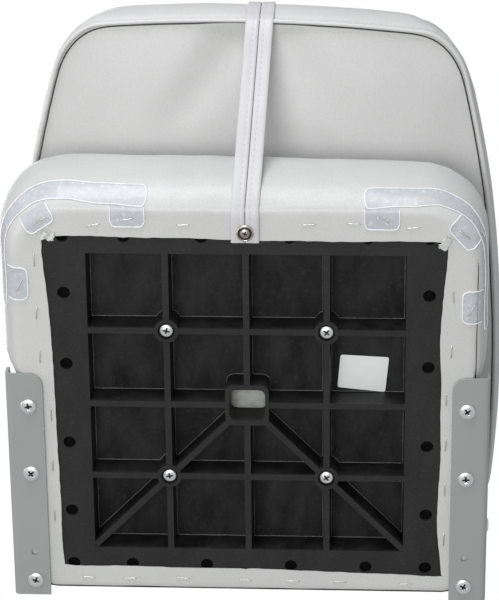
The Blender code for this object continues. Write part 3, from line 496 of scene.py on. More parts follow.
# dark bars in the screws' recesses and a dark ring in the strap cups: painted shade
RECESS_SHADE = Moulded("recess_grime", "steel", (0.02, 0.02, 0.02), 0.6, light=(0.04, 0.04, 0.04), shine=0.2)
DULL_NICKEL = Plated("strap_screw_nickel", "steel", (0.46, 0.42, 0.36), 0.34, tint=(0.34, 0.30, 0.26))
FILM = ClearFilm("clear_film", "clear_plastic", (0.70, 0.72, 0.765), 0.22, alpha=0.46)
FILM_EDGE = ClearFilm("clear_film_edge", "clear_plastic", (0.97, 0.97, 1.0), 0.3, alpha=0.88)
FOAM = Fibrous("foam_grey", "foam", (0.58, 0.59, 0.56), 0.9, shade=(0.42, 0.43, 0.40), tooth=1200.0)
BOARD = Fibrous("back_board", "board", (0.42, 0.30, 0.18), 0.7, shade=(0.34, 0.23, 0.13), stretch=0.15)
PAPER = Fibrous("bare_sticker", "clear_plastic", (0.95, 0.97, 0.96), 0.5, shade=(0.91, 0.93, 0.92),
                depth=0.00005)
THREAD = Fibrous("seam_thread", "vinyl", (0.40, 0.39, 0.42), 0.6, shade=(0.33, 0.33, 0.35), tooth=3000.0)


# Shaping


UP = Vector((0.0, 0.0, 1.0))
DOWN = Vector((0.0, 0.0, -1.0))
SMOOTH = 180.0
SCREW_SHARP = 38.0


def ease(low: float, high: float, value: float) -> float:
    """From 0 at low to 1 at high, level at both."""
    share = min(max((value - low) / (high - low), 0.0), 1.0)
    return share * share * (3.0 - 2.0 * share)


def standing(place: Vector, along: Vector) -> Matrix:
    """The transform that puts the origin at a place and turns Z along an axis."""
    return Matrix.Translation(place) @ UP.rotation_difference(along).to_matrix().to_4x4()


def seen_from_below(shape: Shape) -> None:
    """Turn the faces of an open sheet so that it faces down."""
    if sum(face.normal.z for face in shape.bm.faces) > 0:
        bmesh.ops.reverse_faces(shape.bm, faces=shape.bm.faces)


class Shape:
    """A bmesh under construction, with the operators that the pieces share."""

    def __init__(self) -> None:
        """Start empty."""
        self.bm = bmesh.new()

    def block(self, low: Place, high: Place) -> list[bmesh.types.BMVert]:
        """Add a box between two corners.

        Args:
            low: Its lowest corner.
            high: Its highest corner.

        Returns:
            The new vertices.
        """
        size, middle = Vector(high) - Vector(low), (Vector(high) + Vector(low)) / 2
        where = Matrix.Translation(middle) @ Matrix.Diagonal((*size, 1.0))
        return bmesh.ops.create_cube(self.bm, size=1.0, matrix=where)["verts"]

    def slab(self, outline: list[Point], low: float, high: float) -> list[bmesh.types.BMVert]:
        """Add a flat plate over an outline.

        Args:
            outline: The plate's corners, anticlockwise.
            low: Height of its lower face.
            high: Height of its upper face.

        Returns:
            The new vertices.
        """
        made = bmesh.ops.create_circle(self.bm, cap_ends=True, segments=len(outline), radius=1.0)["verts"]
        for vert, (x, y) in zip(made, outline):
            vert.co = (x, y, low)
        faces = list({face for vert in made for face in vert.link_faces})
        lifted = bmesh.ops.extrude_face_region(self.bm, geom=faces)["geom"]
        top = [item for item in lifted if isinstance(item, bmesh.types.BMVert)]
        bmesh.ops.translate(self.bm, verts=top, vec=(0.0, 0.0, high - low))
        return list(made) + top

    def turn(self, profile: list[Point], place: Vector, along: Vector, steps: int = 32, closed: bool = False
             ) -> list[bmesh.types.BMVert]:
        """Spin a profile of radius and height about an axis.

        Args:
            profile: Radius and height of each point.
            place: Where height 0 stands.
            along: The axis.
            steps: Steps of the full turn.
            closed: Whether the profile is a ring's closed loop.

        Returns:
            The new vertices.
        """
        before = set(self.bm.verts)
        line = [self.bm.verts.new((radius, 0.0, height)) for radius, height in profile]
        pairs = zip(line, line[1:] + (line[:1] if closed else []))
        edges = [self.bm.edges.new(pair) for pair in pairs]
        bmesh.ops.spin(self.bm, geom=line + edges, cent=(0, 0, 0), axis=(0, 0, 1), angle=math.tau,
                       steps=steps, use_merge=True)
        made = [vert for vert in self.bm.verts if vert not in before]
        bmesh.ops.remove_doubles(self.bm, verts=made, dist=1e-6)
        made = [vert for vert in self.bm.verts if vert not in before]
        bmesh.ops.transform(self.bm, matrix=standing(place, along), verts=made)
        return made

    def stack(self, rings: list[list[Vector]], cap_first: bool = True, cap_last: bool = True
              ) -> list[list[bmesh.types.BMVert]]:
        """Join rings of equally many points into a skin.

        Args:
            rings: The rings, from the first to the last.
            cap_first: Whether the first ring is closed by a face.
            cap_last: Whether the last ring is.

        Returns:
            The new vertices, ring by ring.
        """
        loops = []
        for k, ring in enumerate(rings):
            capped = (cap_first and k == 0) or (cap_last and k + 1 == len(rings))
            loop = bmesh.ops.create_circle(self.bm, cap_ends=capped, segments=len(ring), radius=1.0)["verts"]
            for vert, point in zip(loop, ring):
                vert.co = point
            loops.append(list(loop))
        for low, high in zip(loops, loops[1:]):
            edges = [self.bm.edges.get((loop[k - 1], loop[k])) for loop in (low, high)
                     for k in range(len(loop))]
            bmesh.ops.bridge_loops(self.bm, edges=edges)
        return loops

    def sweep(self, path: list[Vector], section: list[Point], rights: list[Vector], ups: list[Vector],
              closed: bool = False) -> list[bmesh.types.BMVert]:
        """Carry a closed section along a path.

        Args:
            path: The path's points.
            section: The section's points, as right and up of the path.
            rights: Unit vector to the section's right at each point.
            ups: Unit vector up at each point.
            closed: Whether the path comes back to its start.

        Returns:
            The new vertices.
        """
        rows = len(path) + (1 if closed else 0)
        columns = len(section)
        made = bmesh.ops.create_grid(self.bm, x_segments=columns, y_segments=rows - 1, size=1.0)["verts"]
        for k, vert in enumerate(made):
            row, column = divmod(k, columns + 1)
            row %= len(path)
            right, up = section[column % columns]
            vert.co = path[row] + rights[row] * right + ups[row] * up
        bmesh.ops.remove_doubles(self.bm, verts=made, dist=1e-7)
        made = [vert for vert in made if vert.is_valid]
        if not closed:
            ends = [edge for edge in {e for v in made for e in v.link_edges} if edge.is_boundary]
            bmesh.ops.holes_fill(self.bm, edges=ends, sides=0)
        return made

    def soften(self, width: float, segments: int = 2, degrees: float = 35.0) -> None:
        """Round every edge sharper than an angle.

        Args:
            width: The bevel's width.
            segments: Its segments.
            degrees: The least angle that counts as an edge.
        """
        limit = math.radians(degrees)
        edges = [e for e in self.bm.edges if e.is_manifold and e.calc_face_angle(0.0) > limit]
        bmesh.ops.bevel(self.bm, geom=edges, offset=width, offset_type="OFFSET", affect="EDGES",
                        segments=segments, profile=0.5, material=-1, clamp_overlap=True)


class Outline:
    """Closed outlines in the plane that slabs, beads and cuts follow."""

    @staticmethod
    def rounded(half: float, front: float, rear: float, front_radius: float, rear_radius: float,
                step: float = 0.004) -> list[Point]:
        """A rectangle with rounded corners, anticlockwise from its front left.

        Args:
            half: Half of its width.
            front: Reach to the front, towards -Y.
            rear: Reach to the rear.
            front_radius: Radius of the two front corners.
            rear_radius: Radius of the two rear corners.
            step: Distance between points.

        Returns:
            The outline's points.
        """
        corners = (
            (half - front_radius, -front + front_radius, front_radius, -90.0),
            (half - rear_radius, rear - rear_radius, rear_radius, 0.0),
            (-half + rear_radius, rear - rear_radius, rear_radius, 90.0),
            (-half + front_radius, -front + front_radius, front_radius, 180.0),
        )
        points: list[Point] = []
        last = Vector((-half + front_radius, -front))
        for x, y, radius, start in corners:
            first = Vector((x, y)) + radius * Outline.aim(start)
            count = max(1, round((first - last).length / step))
            points += [tuple(last.lerp(first, k / count)) for k in range(1, count)]
            turns = max(4, round(radius * math.pi / 2 / step))
            for k in range(turns + 1):
                points.append(tuple(Vector((x, y)) + radius * Outline.aim(start + 90.0 * k / turns)))
            last = Vector(points[-1])
        return points

    @staticmethod
    def circle(radius: float, count: int = 6) -> list[Point]:
        """A circle's points, anticlockwise; six are enough for a thread or a rim."""
        turns = [math.tau * k / count for k in range(count)]
        return [(radius * math.cos(turn), radius * math.sin(turn)) for turn in turns]

    @staticmethod
    def spaced(points: list[Vector], count: int, closed: bool = True) -> list[Vector]:
        """Points at equal distances along a line.

        Args:
            points: The line.
            count: How many points to give.
            closed: Whether the line comes back to its start.

        Returns:
            The evenly spaced points.
        """
        line = points + points[:1] if closed else points
        lengths = [0.0]
        for first, second in zip(line, line[1:]):
            lengths.append(lengths[-1] + (second - first).length)
        made, k = [], 0
        for n in range(count):
            wanted = lengths[-1] * n / (count if closed else count - 1)
            while k + 2 < len(line) and lengths[k + 1] < wanted:
                k += 1
            span = lengths[k + 1] - lengths[k]
            made.append(line[k].lerp(line[k + 1], min(1.0, (wanted - lengths[k]) / span) if span else 0.0))
        return made

    @staticmethod
    def aim(degrees: float) -> Vector:
        """Unit vector at an angle in the plane."""
        return Vector((math.cos(math.radians(degrees)), math.sin(math.radians(degrees))))

    @staticmethod
    def inwards(points: list[Point]) -> list[Vector]:
        """The unit normal towards the middle at each point of an anticlockwise outline.

        Args:
            points: The outline.

        Returns:
            One normal a point.
        """
        count = len(points)
        normals = []
        for k in range(count):
            ahead = Vector(points[(k + 1) % count]) - Vector(points[k - 1])
            normals.append(Vector((-ahead.y, ahead.x)).normalized())
        return normals


@dataclass
class Workshop:
    """Places finished pieces in the frame and keeps count of them."""

    frame: dict
    bolts: Vector = field(init=False)
    made: list[bpy.types.Object] = field(default_factory=list)

    def __post_init__(self) -> None:
        """Find the middle of the mounting screws from the record's mounts."""
        mounts = self.frame["record"]["mounts"]
        middle = sum((Vector(mount["pos_m"]) for mount in mounts), Vector()) / len(mounts)
        self.bolts = Vector((0.0, middle.y, 0.0))

    def blank(self, name: str, shape: Shape, closed: bool = True) -> bpy.types.Object:
        """Turn a shape into an object that is still measured from the mounting screws' middle.

        Args:
            name: The object's name.
            shape: Its bmesh, which is used up.
            closed: Whether its normals are recalculated.

        Returns:
            The object, at the origin.
        """
        if closed:
            bmesh.ops.recalc_face_normals(shape.bm, faces=shape.bm.faces)
        mesh = bpy.data.meshes.new(name)
        shape.bm.to_mesh(mesh)
        shape.bm.free()
        piece = bpy.data.objects.new(name, mesh)
        bpy.context.scene.collection.objects.link(piece)
        return piece

    def place(self, piece: bpy.types.Object, finish: Finish, body: Body, replaces: tuple[str, ...] = (),
              sharp: float = 40.0, flat: float = 1.0) -> bpy.types.Object:
        """Move a blank to its place in the frame and dress it.

        Args:
            piece: The blank.
            finish: Its surface.
            body: The body that it rides on.
            replaces: CAD nodes that it stands for.
            sharp: Angle in degrees over which an edge stays sharp.
            flat: Area in square metres over which a face is shaded flat.

        Returns:
            The piece.
        """
        mesh = piece.data
        mesh.transform(Matrix.Translation(self.bolts))
        mesh.shade_smooth()
        mesh.set_sharp_from_angle(angle=math.radians(sharp))
        for face in mesh.polygons:
            face.use_smooth = face.area < flat
        mesh.materials.clear()
        mesh.materials.append(finish.material())
        return self.take(piece, body, replaces)

    def finish(self, name: str, shape: Shape, finish: Finish, body: Body, replaces: tuple[str, ...] = (),
               sharp: float = 40.0, closed: bool = True, flat: float = 1.0) -> bpy.types.Object:
        """Turn a shape into a placed and dressed piece of the object.

        Args:
            name: The piece's name.
            shape: Its bmesh, measured from the mounting screws' middle.
            finish: Its surface.
            body: The body that it rides on.
            replaces: CAD nodes that it stands for.
            sharp: Angle in degrees over which an edge stays sharp.
            closed: Whether its normals are recalculated.
            flat: Area in square metres over which a face is shaded flat.

        Returns:
            The piece.
        """
        return self.place(self.blank(name, shape, closed), finish, body, replaces, sharp, flat)

    def take(self, piece: bpy.types.Object, body: Body, replaces: tuple[str, ...] = ()
             ) -> bpy.types.Object:
        """Let a piece ride on its body and report it.

        Args:
            piece: The finished object, at the origin.
            body: The body.
            replaces: CAD nodes that it stands for.

        Returns:
            The same object.
        """
        if replaces:
            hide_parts(*replaces)
        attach(piece, body.value)
        self.made.append(piece)
        log.info("made %s on the %s", piece.name, body.value)
        return piece

    def carve(self, shape: Shape, cutter: Shape) -> Shape:
        """Cut one shape out of another.

        Args:
            shape: What is cut.
            cutter: What is taken away.

        Returns:
            What is left.
        """
        pair = []
        for name, part in (("carved", shape), ("carver", cutter)):
            bmesh.ops.recalc_face_normals(part.bm, faces=part.bm.faces)
            mesh = bpy.data.meshes.new(name)
            part.bm.to_mesh(mesh)
            part.bm.free()
            pair.append(bpy.data.objects.new(name, mesh))
            bpy.context.scene.collection.objects.link(pair[-1])
        step = pair[0].modifiers.new("carve", "BOOLEAN")
        step.operation, step.solver, step.object = "DIFFERENCE", "EXACT", pair[1]
        graph = bpy.context.evaluated_depsgraph_get()
        left = Shape()
        left.bm.from_mesh(pair[0].evaluated_get(graph).to_mesh())
        pair[0].evaluated_get(graph).to_mesh_clear()
        for item in pair:
            mesh = item.data
            bpy.data.objects.remove(item)
            bpy.data.meshes.remove(mesh)
        return left

    def copy_node(self, node: str, width: float, segments: int = 2) -> Shape:
        """Copy a CAD node's shape, welded, with its edges broken.

        Args:
            node: The node's name.
            width: Width of the broken edges.
            segments: Segments of the bevel.

        Returns:
            The copy, measured from the mounting screws' middle.
        """
        shape = Shape()
        shape.bm.from_mesh(self.frame["nodes"][node].data)
        bmesh.ops.translate(shape.bm, verts=shape.bm.verts, vec=-self.bolts)
        bmesh.ops.remove_doubles(shape.bm, verts=shape.bm.verts, dist=1e-5)
        bmesh.ops.dissolve_limit(shape.bm, angle_limit=math.radians(1.0), verts=shape.bm.verts,
                                 edges=shape.bm.edges, use_dissolve_boundaries=False)
        shape.soften(width, segments)
        return shape


class Padding:
    """Turns a plain solid into a stuffed cushion by a short cloth simulation."""

    def __init__(self, piece: bpy.types.Object, voxel: float) -> None:
        """Remesh the solid evenly.

        Args:
            piece: The cushion's blank.
            voxel: Size of the mesh's squares.
        """
        self.piece = piece
        remesh = piece.modifiers.new("even squares", "REMESH")
        remesh.mode = "VOXEL"
        remesh.voxel_size = voxel
        self.apply()

    @classmethod
    def resume(cls, piece: bpy.types.Object) -> Padding:
        """Go on with a cushion that is already stuffed."""
        made = cls.__new__(cls)
        made.piece = piece
        return made

    def apply(self) -> None:
        """Put the modifiers' result into the mesh and take them off."""
        graph = bpy.context.evaluated_depsgraph_get()
        graph.update()
        mesh = bpy.data.meshes.new_from_object(self.piece.evaluated_get(graph))
        old = self.piece.data
        self.piece.modifiers.clear()
        self.piece.data = mesh
        mesh.name = old.name
        bpy.data.meshes.remove(old)

    def inflate(self, pressure: float, cap: Callable[[Vector], float], held: list[int],
                frames: int = 20) -> None:
        """Blow the skin up a little and keep the creases that the cloth settles into.

        Args:
            pressure: Pressure of the filling.
            cap: Gives the furthest that a point may move from where it starts.
            held: Vertices that stay where they are.
            frames: Steps of the simulation.
        """
        before = [vert.co.copy() for vert in self.piece.data.vertices]
        group = self.piece.vertex_groups.new(name="held")
        group.add(held, 1.0, "REPLACE")
        cloth = self.piece.modifiers.new("stuffing", "CLOTH")
        settings = cloth.settings
        settings.quality = 6
        settings.mass = 0.25
        settings.tension_stiffness = 18.0
        settings.compression_stiffness = 18.0
        settings.shear_stiffness = 6.0
        settings.bending_stiffness = 0.6
        settings.use_pressure = True
        settings.uniform_pressure_force = pressure
        settings.vertex_group_mass = "held"
        settings.effector_weights.gravity = 0.0
        cloth.collision_settings.use_collision = False
        cloth.point_cache.frame_start = 1
        cloth.point_cache.frame_end = frames
        scene = bpy.context.scene
        for frame_number in range(1, frames + 1):
            scene.frame_set(frame_number)
        self.apply()
        scene.frame_set(1)
        for vert, start in zip(self.piece.data.vertices, before):
            moved, limit = vert.co - start, cap(start)
            if moved.length > limit:
                vert.co = start + moved.normalized() * limit
        self.piece.vertex_groups.clear()

    def subdivide(self) -> None:
        """Round the mesh off with one subdivision."""
        smooth = self.piece.modifiers.new("round", "SUBSURF")
        smooth.levels = 1
        smooth.render_levels = 1
        self.apply()

    def cut(self, cutter: Shape) -> None:
        """Cut a shape out of the cushion.

        Args:
            cutter: The shape, measured as the cushion is.
        """
        mesh = bpy.data.meshes.new("cutter")
        cutter.bm.to_mesh(mesh)
        cutter.bm.free()
        tool = bpy.data.objects.new("cutter", mesh)
        bpy.context.scene.collection.objects.link(tool)
        step = self.piece.modifiers.new("cut", "BOOLEAN")
        step.operation = "DIFFERENCE"
        step.solver = "MANIFOLD"
        step.object = tool
        self.apply()
        bpy.data.objects.remove(tool)
        bpy.data.meshes.remove(mesh)

    def shift(self, move: Callable[[Vector], Vector]) -> None:
        """Move every vertex by a function of its place.

        Args:
            move: Takes a place and gives the new one.
        """
        for vert in self.piece.data.vertices:
            vert.co = move(vert.co)


class Surface:
    """A finished skin that beads, straps and staples are laid on."""

    def __init__(self, piece: bpy.types.Object) -> None:
        """Keep the piece's skin.

        Args:
            piece: A blank.
        """
        shape = Shape()
        shape.bm.from_mesh(piece.data)
        self.tree = BVHTree.FromBMesh(shape.bm)
        shape.bm.free()

    def from_outside(self, point: Vector, outwards: Vector, reach: float = 0.03) -> Vector:
        """Where the skin is met on the way in past a point.

        Args:
            point: A point near the skin.
            outwards: Unit vector away from the cushion.
            reach: How far out the way starts.

        Returns:
            The place on the skin, or the point itself where there is none.
        """
        hit = self.tree.ray_cast(point + outwards * reach, -outwards, 2 * reach)[0]
        return hit if hit is not None else point

    def nearest(self, point: Vector) -> Vector:
        """The place on the skin that is closest to a point."""
        hit = self.tree.find_nearest(point)[0]
        return hit if hit is not None else point


# Sizes that several sub-assemblies share


@dataclass(frozen=True)
class SeatPlan:
    """The seat cushion's base outline, what bulges past it, and its height."""

    half: float = 0.1845
    front: float = 0.168
    rear: float = 0.168
    front_corner: float = 0.045
    rear_corner: float = 0.024
    bulge_front: float = 0.0209
    bulge_side: float = 0.0120
    bulge_rear: float = 0.0015
    bulge_at_ears: float = 0.0025
    fuller_left: float = 0.0035
    fuller_front_left: float = 0.0025
    bow: float = 0.0034
    corner_share: float = 0.35
    squeeze: Point = (-0.0275, -0.0225)
    floor: float = 0.0052
    height: float = 0.0948

    def ring(self, share: float, height: float, lift: float = 0.0, step: float = 0.006) -> list[Vector]:
        """A ring round the cushion's side.

        Args:
            share: Share of the bulge.
            height: Share of the height.
            lift: How far the ring stands off the cushion.
            step: Distance between points.

        Returns:
            The ring's points.
        """
        side = share * self.bulge_side + lift
        front = share * self.bulge_front + lift
        rear = share * self.bulge_rear + lift
        outline = Outline.rounded(self.half + side, self.front + front, self.rear + rear,
                                  self.front_corner + front * self.corner_share, self.rear_corner + rear,
                                  step)
        squeezed = share * (self.bulge_side - self.bulge_at_ears) / (self.half + side)
        points = []
        for x, y in outline:
            at_ears = ease(*self.squeeze, y)
            aside, ahead = x / self.half, min(0.0, y / self.front)
            x = x * (1 - squeezed * at_ears) - share * self.fuller_left * abs(aside) * (1 - at_ears)
            bowed = self.bow * (1.0 - min(1.0, aside * aside))
            y += share * (self.fuller_front_left * aside - bowed) * -ahead
            points.append(Vector((x, y, self.floor + height * self.height)))
        return points

    def crown(self, share: float, height: float, count: int) -> list[Vector]:
        """A ring of the cushion's top.

        Args:
            share: Share of the half width by which it is drawn in.
            height: Share of the height.
            count: How many points it has.

        Returns:
            The ring's points.
        """
        inset = share * self.half
        half, front, rear = self.half - inset, self.front - inset, self.rear - inset
        limit = 0.9 * min(half, front, rear)
        outline = Outline.rounded(half, front, rear, min(self.front_corner * (1 + share), limit),
                                  min(self.rear_corner * (1 + share), limit), 0.006)
        return Outline.spaced([Vector((x, y, self.floor + height * self.height)) for x, y in outline], count)


@dataclass(frozen=True)
class BackPlan:
    """The backrest cushion's outline and heights, as it lies folded with its face down."""

    half: float = 0.2035
    top: float = 0.2957
    bottom: float = 0.160
    widest: float = 0.030
    taper: float = 0.0457
    play: float = 0.0205
    hinge: float = 0.131
    top_corner: float = 0.034
    bowed: float = 0.365
    bottom_corner: float = 0.050
    face: float = 0.110
    edge: float = 0.040
    crown: float = 0.0072
    inset: float = 0.0085
    drawn_in: float = 0.0022

    def outline(self, inset: float, wider: float = 0.0, lower: float = 0.0,
                step: float = 0.006) -> list[Point]:
        """The outline drawn in, wide at the hinges and narrow at the top, askew by the hinges' play.

        Args:
            inset: How far it is drawn in.
            wider: What is added to the radius of its top corners.
            lower: How much further its top edge is drawn in.
            step: Distance between points.

        Returns:
            The outline's points.
        """
        limit = 0.9 * min(self.half - inset, (self.top + self.bottom) / 2 - inset)
        plain = Outline.rounded(self.half - inset, self.top - inset - lower, self.bottom - inset,
                                min(self.top_corner + wider, limit), min(self.bottom_corner, limit), step)
        points = []
        for x, y in plain:
            away = (y - self.widest) / (self.top + self.widest)
            across = x * (1 - self.taper / self.half * away * away)
            y += self.bowed * across * across * min(1.0, max(0.0, -(y + 0.15) / 0.1))
            points.append((across - self.play * (y - self.hinge), y + self.play * across))
        return points

    def ring(self, inset: float, z: float, count: int, wider: float = 0.0) -> list[Vector]:
        """A ring at a height with a set number of points."""
        lower = self.drawn_in * (1.0 - ease(self.face, self.face + 0.018, z))
        return Outline.spaced([Vector((x, y, z)) for x, y in self.outline(inset, wider, lower)], count)


SEAT = SeatPlan()
BACK = BackPlan()
PAN_LOW = 0.0062


# Fasteners


@dataclass(frozen=True)
class ScrewSize:
    """A pan-head screw: its head, its recess and its shank."""

    head: float
    rise: float
    shank: float
    length: float
    cross: float

    def shape(self, place: Vector, along: Vector, turn: float, shop: Workshop) -> Shape:
        """Make the screw.

        Args:
            place: Middle of the head's bearing face.
            along: From the bearing face into the work.
            turn: The recess's angle in degrees.
            shop: The workshop that cuts the recess.

        Returns:
            The screw's shape.
        """
        body = Shape()
        dome = [(self.head * math.sin(t) ** 0.8, -self.rise * (0.35 + 0.65 * math.cos(t)))
                for t in (math.pi / 2 * k / 7 for k in range(7))]
        bearing = [(self.head * 0.995, -self.rise * 0.3), (self.head * 0.97, -self.rise * 0.05),
                   (self.head * 0.93, 0.0)]
        shank = [(self.shank, 0.0), (self.shank, self.length - 0.002), (self.shank * 0.5, self.length),
                 (0.0, self.length)]
        body.turn(dome + bearing + shank, Vector(), UP, steps=40)
        recess = Shape()
        deep = self.rise * 0.8
        for quarter in range(2):
            bar = recess.block((-self.cross, -self.cross * 0.24, -self.rise - 0.001),
                               (self.cross, self.cross * 0.24, -self.rise + deep))
            for vert in bar:
                if vert.co.z > -self.rise:
                    vert.co.x *= 0.5
                    vert.co.y *= 0.6
            spin = Matrix.Rotation(math.radians(turn + 90 * quarter), 4, "Z")
            bmesh.ops.transform(recess.bm, matrix=spin, verts=bar)
            body, recess = shop.carve(body, recess), Shape()
        bmesh.ops.transform(body.bm, matrix=standing(place, along), verts=body.bm.verts)
        return body

    def shade(self, shape: Shape, place: Vector, along: Vector, turn: float) -> None:
        """Add painted shade, two dark bars, at the foot of the screw's recess to a shape."""
        for quarter in range(2):
            bar = shape.block((-self.cross * 0.86, -self.cross * 0.16, -self.rise * 0.62),
                              (self.cross * 0.86, self.cross * 0.16, -self.rise * 0.1))
            spin = Matrix.Rotation(math.radians(turn + 90 * quarter), 4, "Z")
            bmesh.ops.transform(shape.bm, matrix=standing(place, along) @ spin, verts=bar)


@dataclass
class Fasteners:
    """The screws of the mounting plate and of the brackets, and the pivots' rivets."""

    shop: Workshop
    mount: ScrewSize = ScrewSize(0.0057, 0.0028, 0.0030, 0.016, 0.0036)
    bracket: ScrewSize = ScrewSize(0.0064, 0.0021, 0.0021, 0.009, 0.0040)
    arm: ScrewSize = ScrewSize(0.0058, 0.0021, 0.0021, 0.044, 0.0034)
    pitch: float = 0.0635
    bracket_x: float = 0.1755
    bracket_places: tuple[float, ...] = (0.001, 0.0605, 0.1575)
    arm_x: float = 0.175
    arm_places: tuple[float, ...] = (0.058, 0.077, 0.096)
    arm_low: float = 0.1016
    pivot: Place = (0.1938, 0.131, 0.062)
    washer: tuple[Point, ...] = ((0.0044, 0.0), (0.0074, 0.0), (0.0078, 0.0002), (0.0078, 0.0008),
                                 (0.0074, 0.0010), (0.0044, 0.0010))
    washer_thick: float = 0.0013
    rivet_end: float = 0.1879
    rivet_tail: tuple[Point, ...] = ((0.0, -0.0012), (0.0052, -0.0012), (0.0062, -0.0006), (0.0062, 0.0),
                                     (0.004, 0.0))
    rivet_head: tuple[Point, ...] = ((0.004, 0.0), (0.0061, 0.0), (0.0062, 0.0003), (0.0058, 0.0011),
                                     (0.0049, 0.0017), (0.0040, 0.0020), (0.0034, 0.0021), (0.0030, 0.0016),
                                     (0.0022, 0.0016), (0.0018, 0.0021), (0.0, 0.0022))
    grime: dict[Body, Shape] = field(default_factory=lambda: {body: Shape() for body in Body})

    def screw(self, name: str, size: ScrewSize, place: Place, turn: float, body: Body) -> None:
        """Make a screw whose head is at its foot, in place of the CAD screw of that name."""
        shape = size.shape(Vector(place), UP, turn, self.shop)
        self.shop.finish(name + "_made", shape, PLATE, body, (name,), sharp=SCREW_SHARP)
        # painted shade at the foot of the screw's recess
        size.shade(self.grime[body], Vector(place), UP, turn)

    def mounting(self) -> None:
        """The four long screws in the pan's bosses."""
        turns = {("front", -1): 12.0, ("front", 1): 38.0, ("rear", -1): 80.0, ("rear", 1): 55.0}
        for (word, side), turn in turns.items():
            name = f"mounting_screw_{word}_{Side(side).word}"
            low, high = (corner.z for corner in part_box(name))
            y = self.pitch if word == "rear" else -self.pitch
            size = ScrewSize(self.mount.head, self.mount.rise, self.mount.shank, high - low - self.mount.rise,
                             self.mount.cross)
            self.screw(name, size, (side * self.pitch, y, low + size.rise), turn, Body.SEAT)

    def brackets(self) -> None:
        """The screws of the seat brackets and of the backrest's arms."""
        for side in Side:
            for k, y in enumerate(self.bracket_places, start=1):
                name = f"seat_bracket_screw_{side.word}_{k}"
                place = (side.value * self.bracket_x, y, self.bracket.rise)
                self.screw(name, self.bracket, place, 23.0 + 31.0 * k * side.value, Body.SEAT)
            for k, y in enumerate(self.arm_places, start=1):
                name = f"back_bracket_screw_{side.word}_{k}"
                place = (side.value * self.arm_x, y, self.arm_low)
                self.screw(name, self.arm, place, 41.0 + 27.0 * k * side.value, Body.BACKREST)

    def pivots(self) -> None:
        """The rivets that the arms turn on, with a washer under each outer head."""
        for side in Side:
            outwards = Vector((side.value, 0, 0))
            x, y, z = self.pivot
            head = x + self.washer_thick
            tail = self.rivet_end - head
            profile = [(radius, tail + height) for radius, height in self.rivet_tail] + list(self.rivet_head)
            for word, line, foot, closed in (("washer", self.washer, x, True),
                                             ("rivet", profile, head, False)):
                shape, node = Shape(), f"pivot_{word}_{side.word}"
                shape.turn(line, Vector((side.value * foot, y, z)), outwards, 48, closed)
                self.shop.finish(node + "_made", shape, PLATE, Body.SEAT, (node,))

    def build(self) -> None:
        """Make every fastener but the strap's."""
        self.mounting()
        self.brackets()
        self.pivots()
        # one piece a body of the screws' painted recess shade
        for body, shape in self.grime.items():
            self.shop.finish(f"screw_recess_grime_{body.name.lower()}", shape, RECESS_SHADE, body)


# Pan and brackets


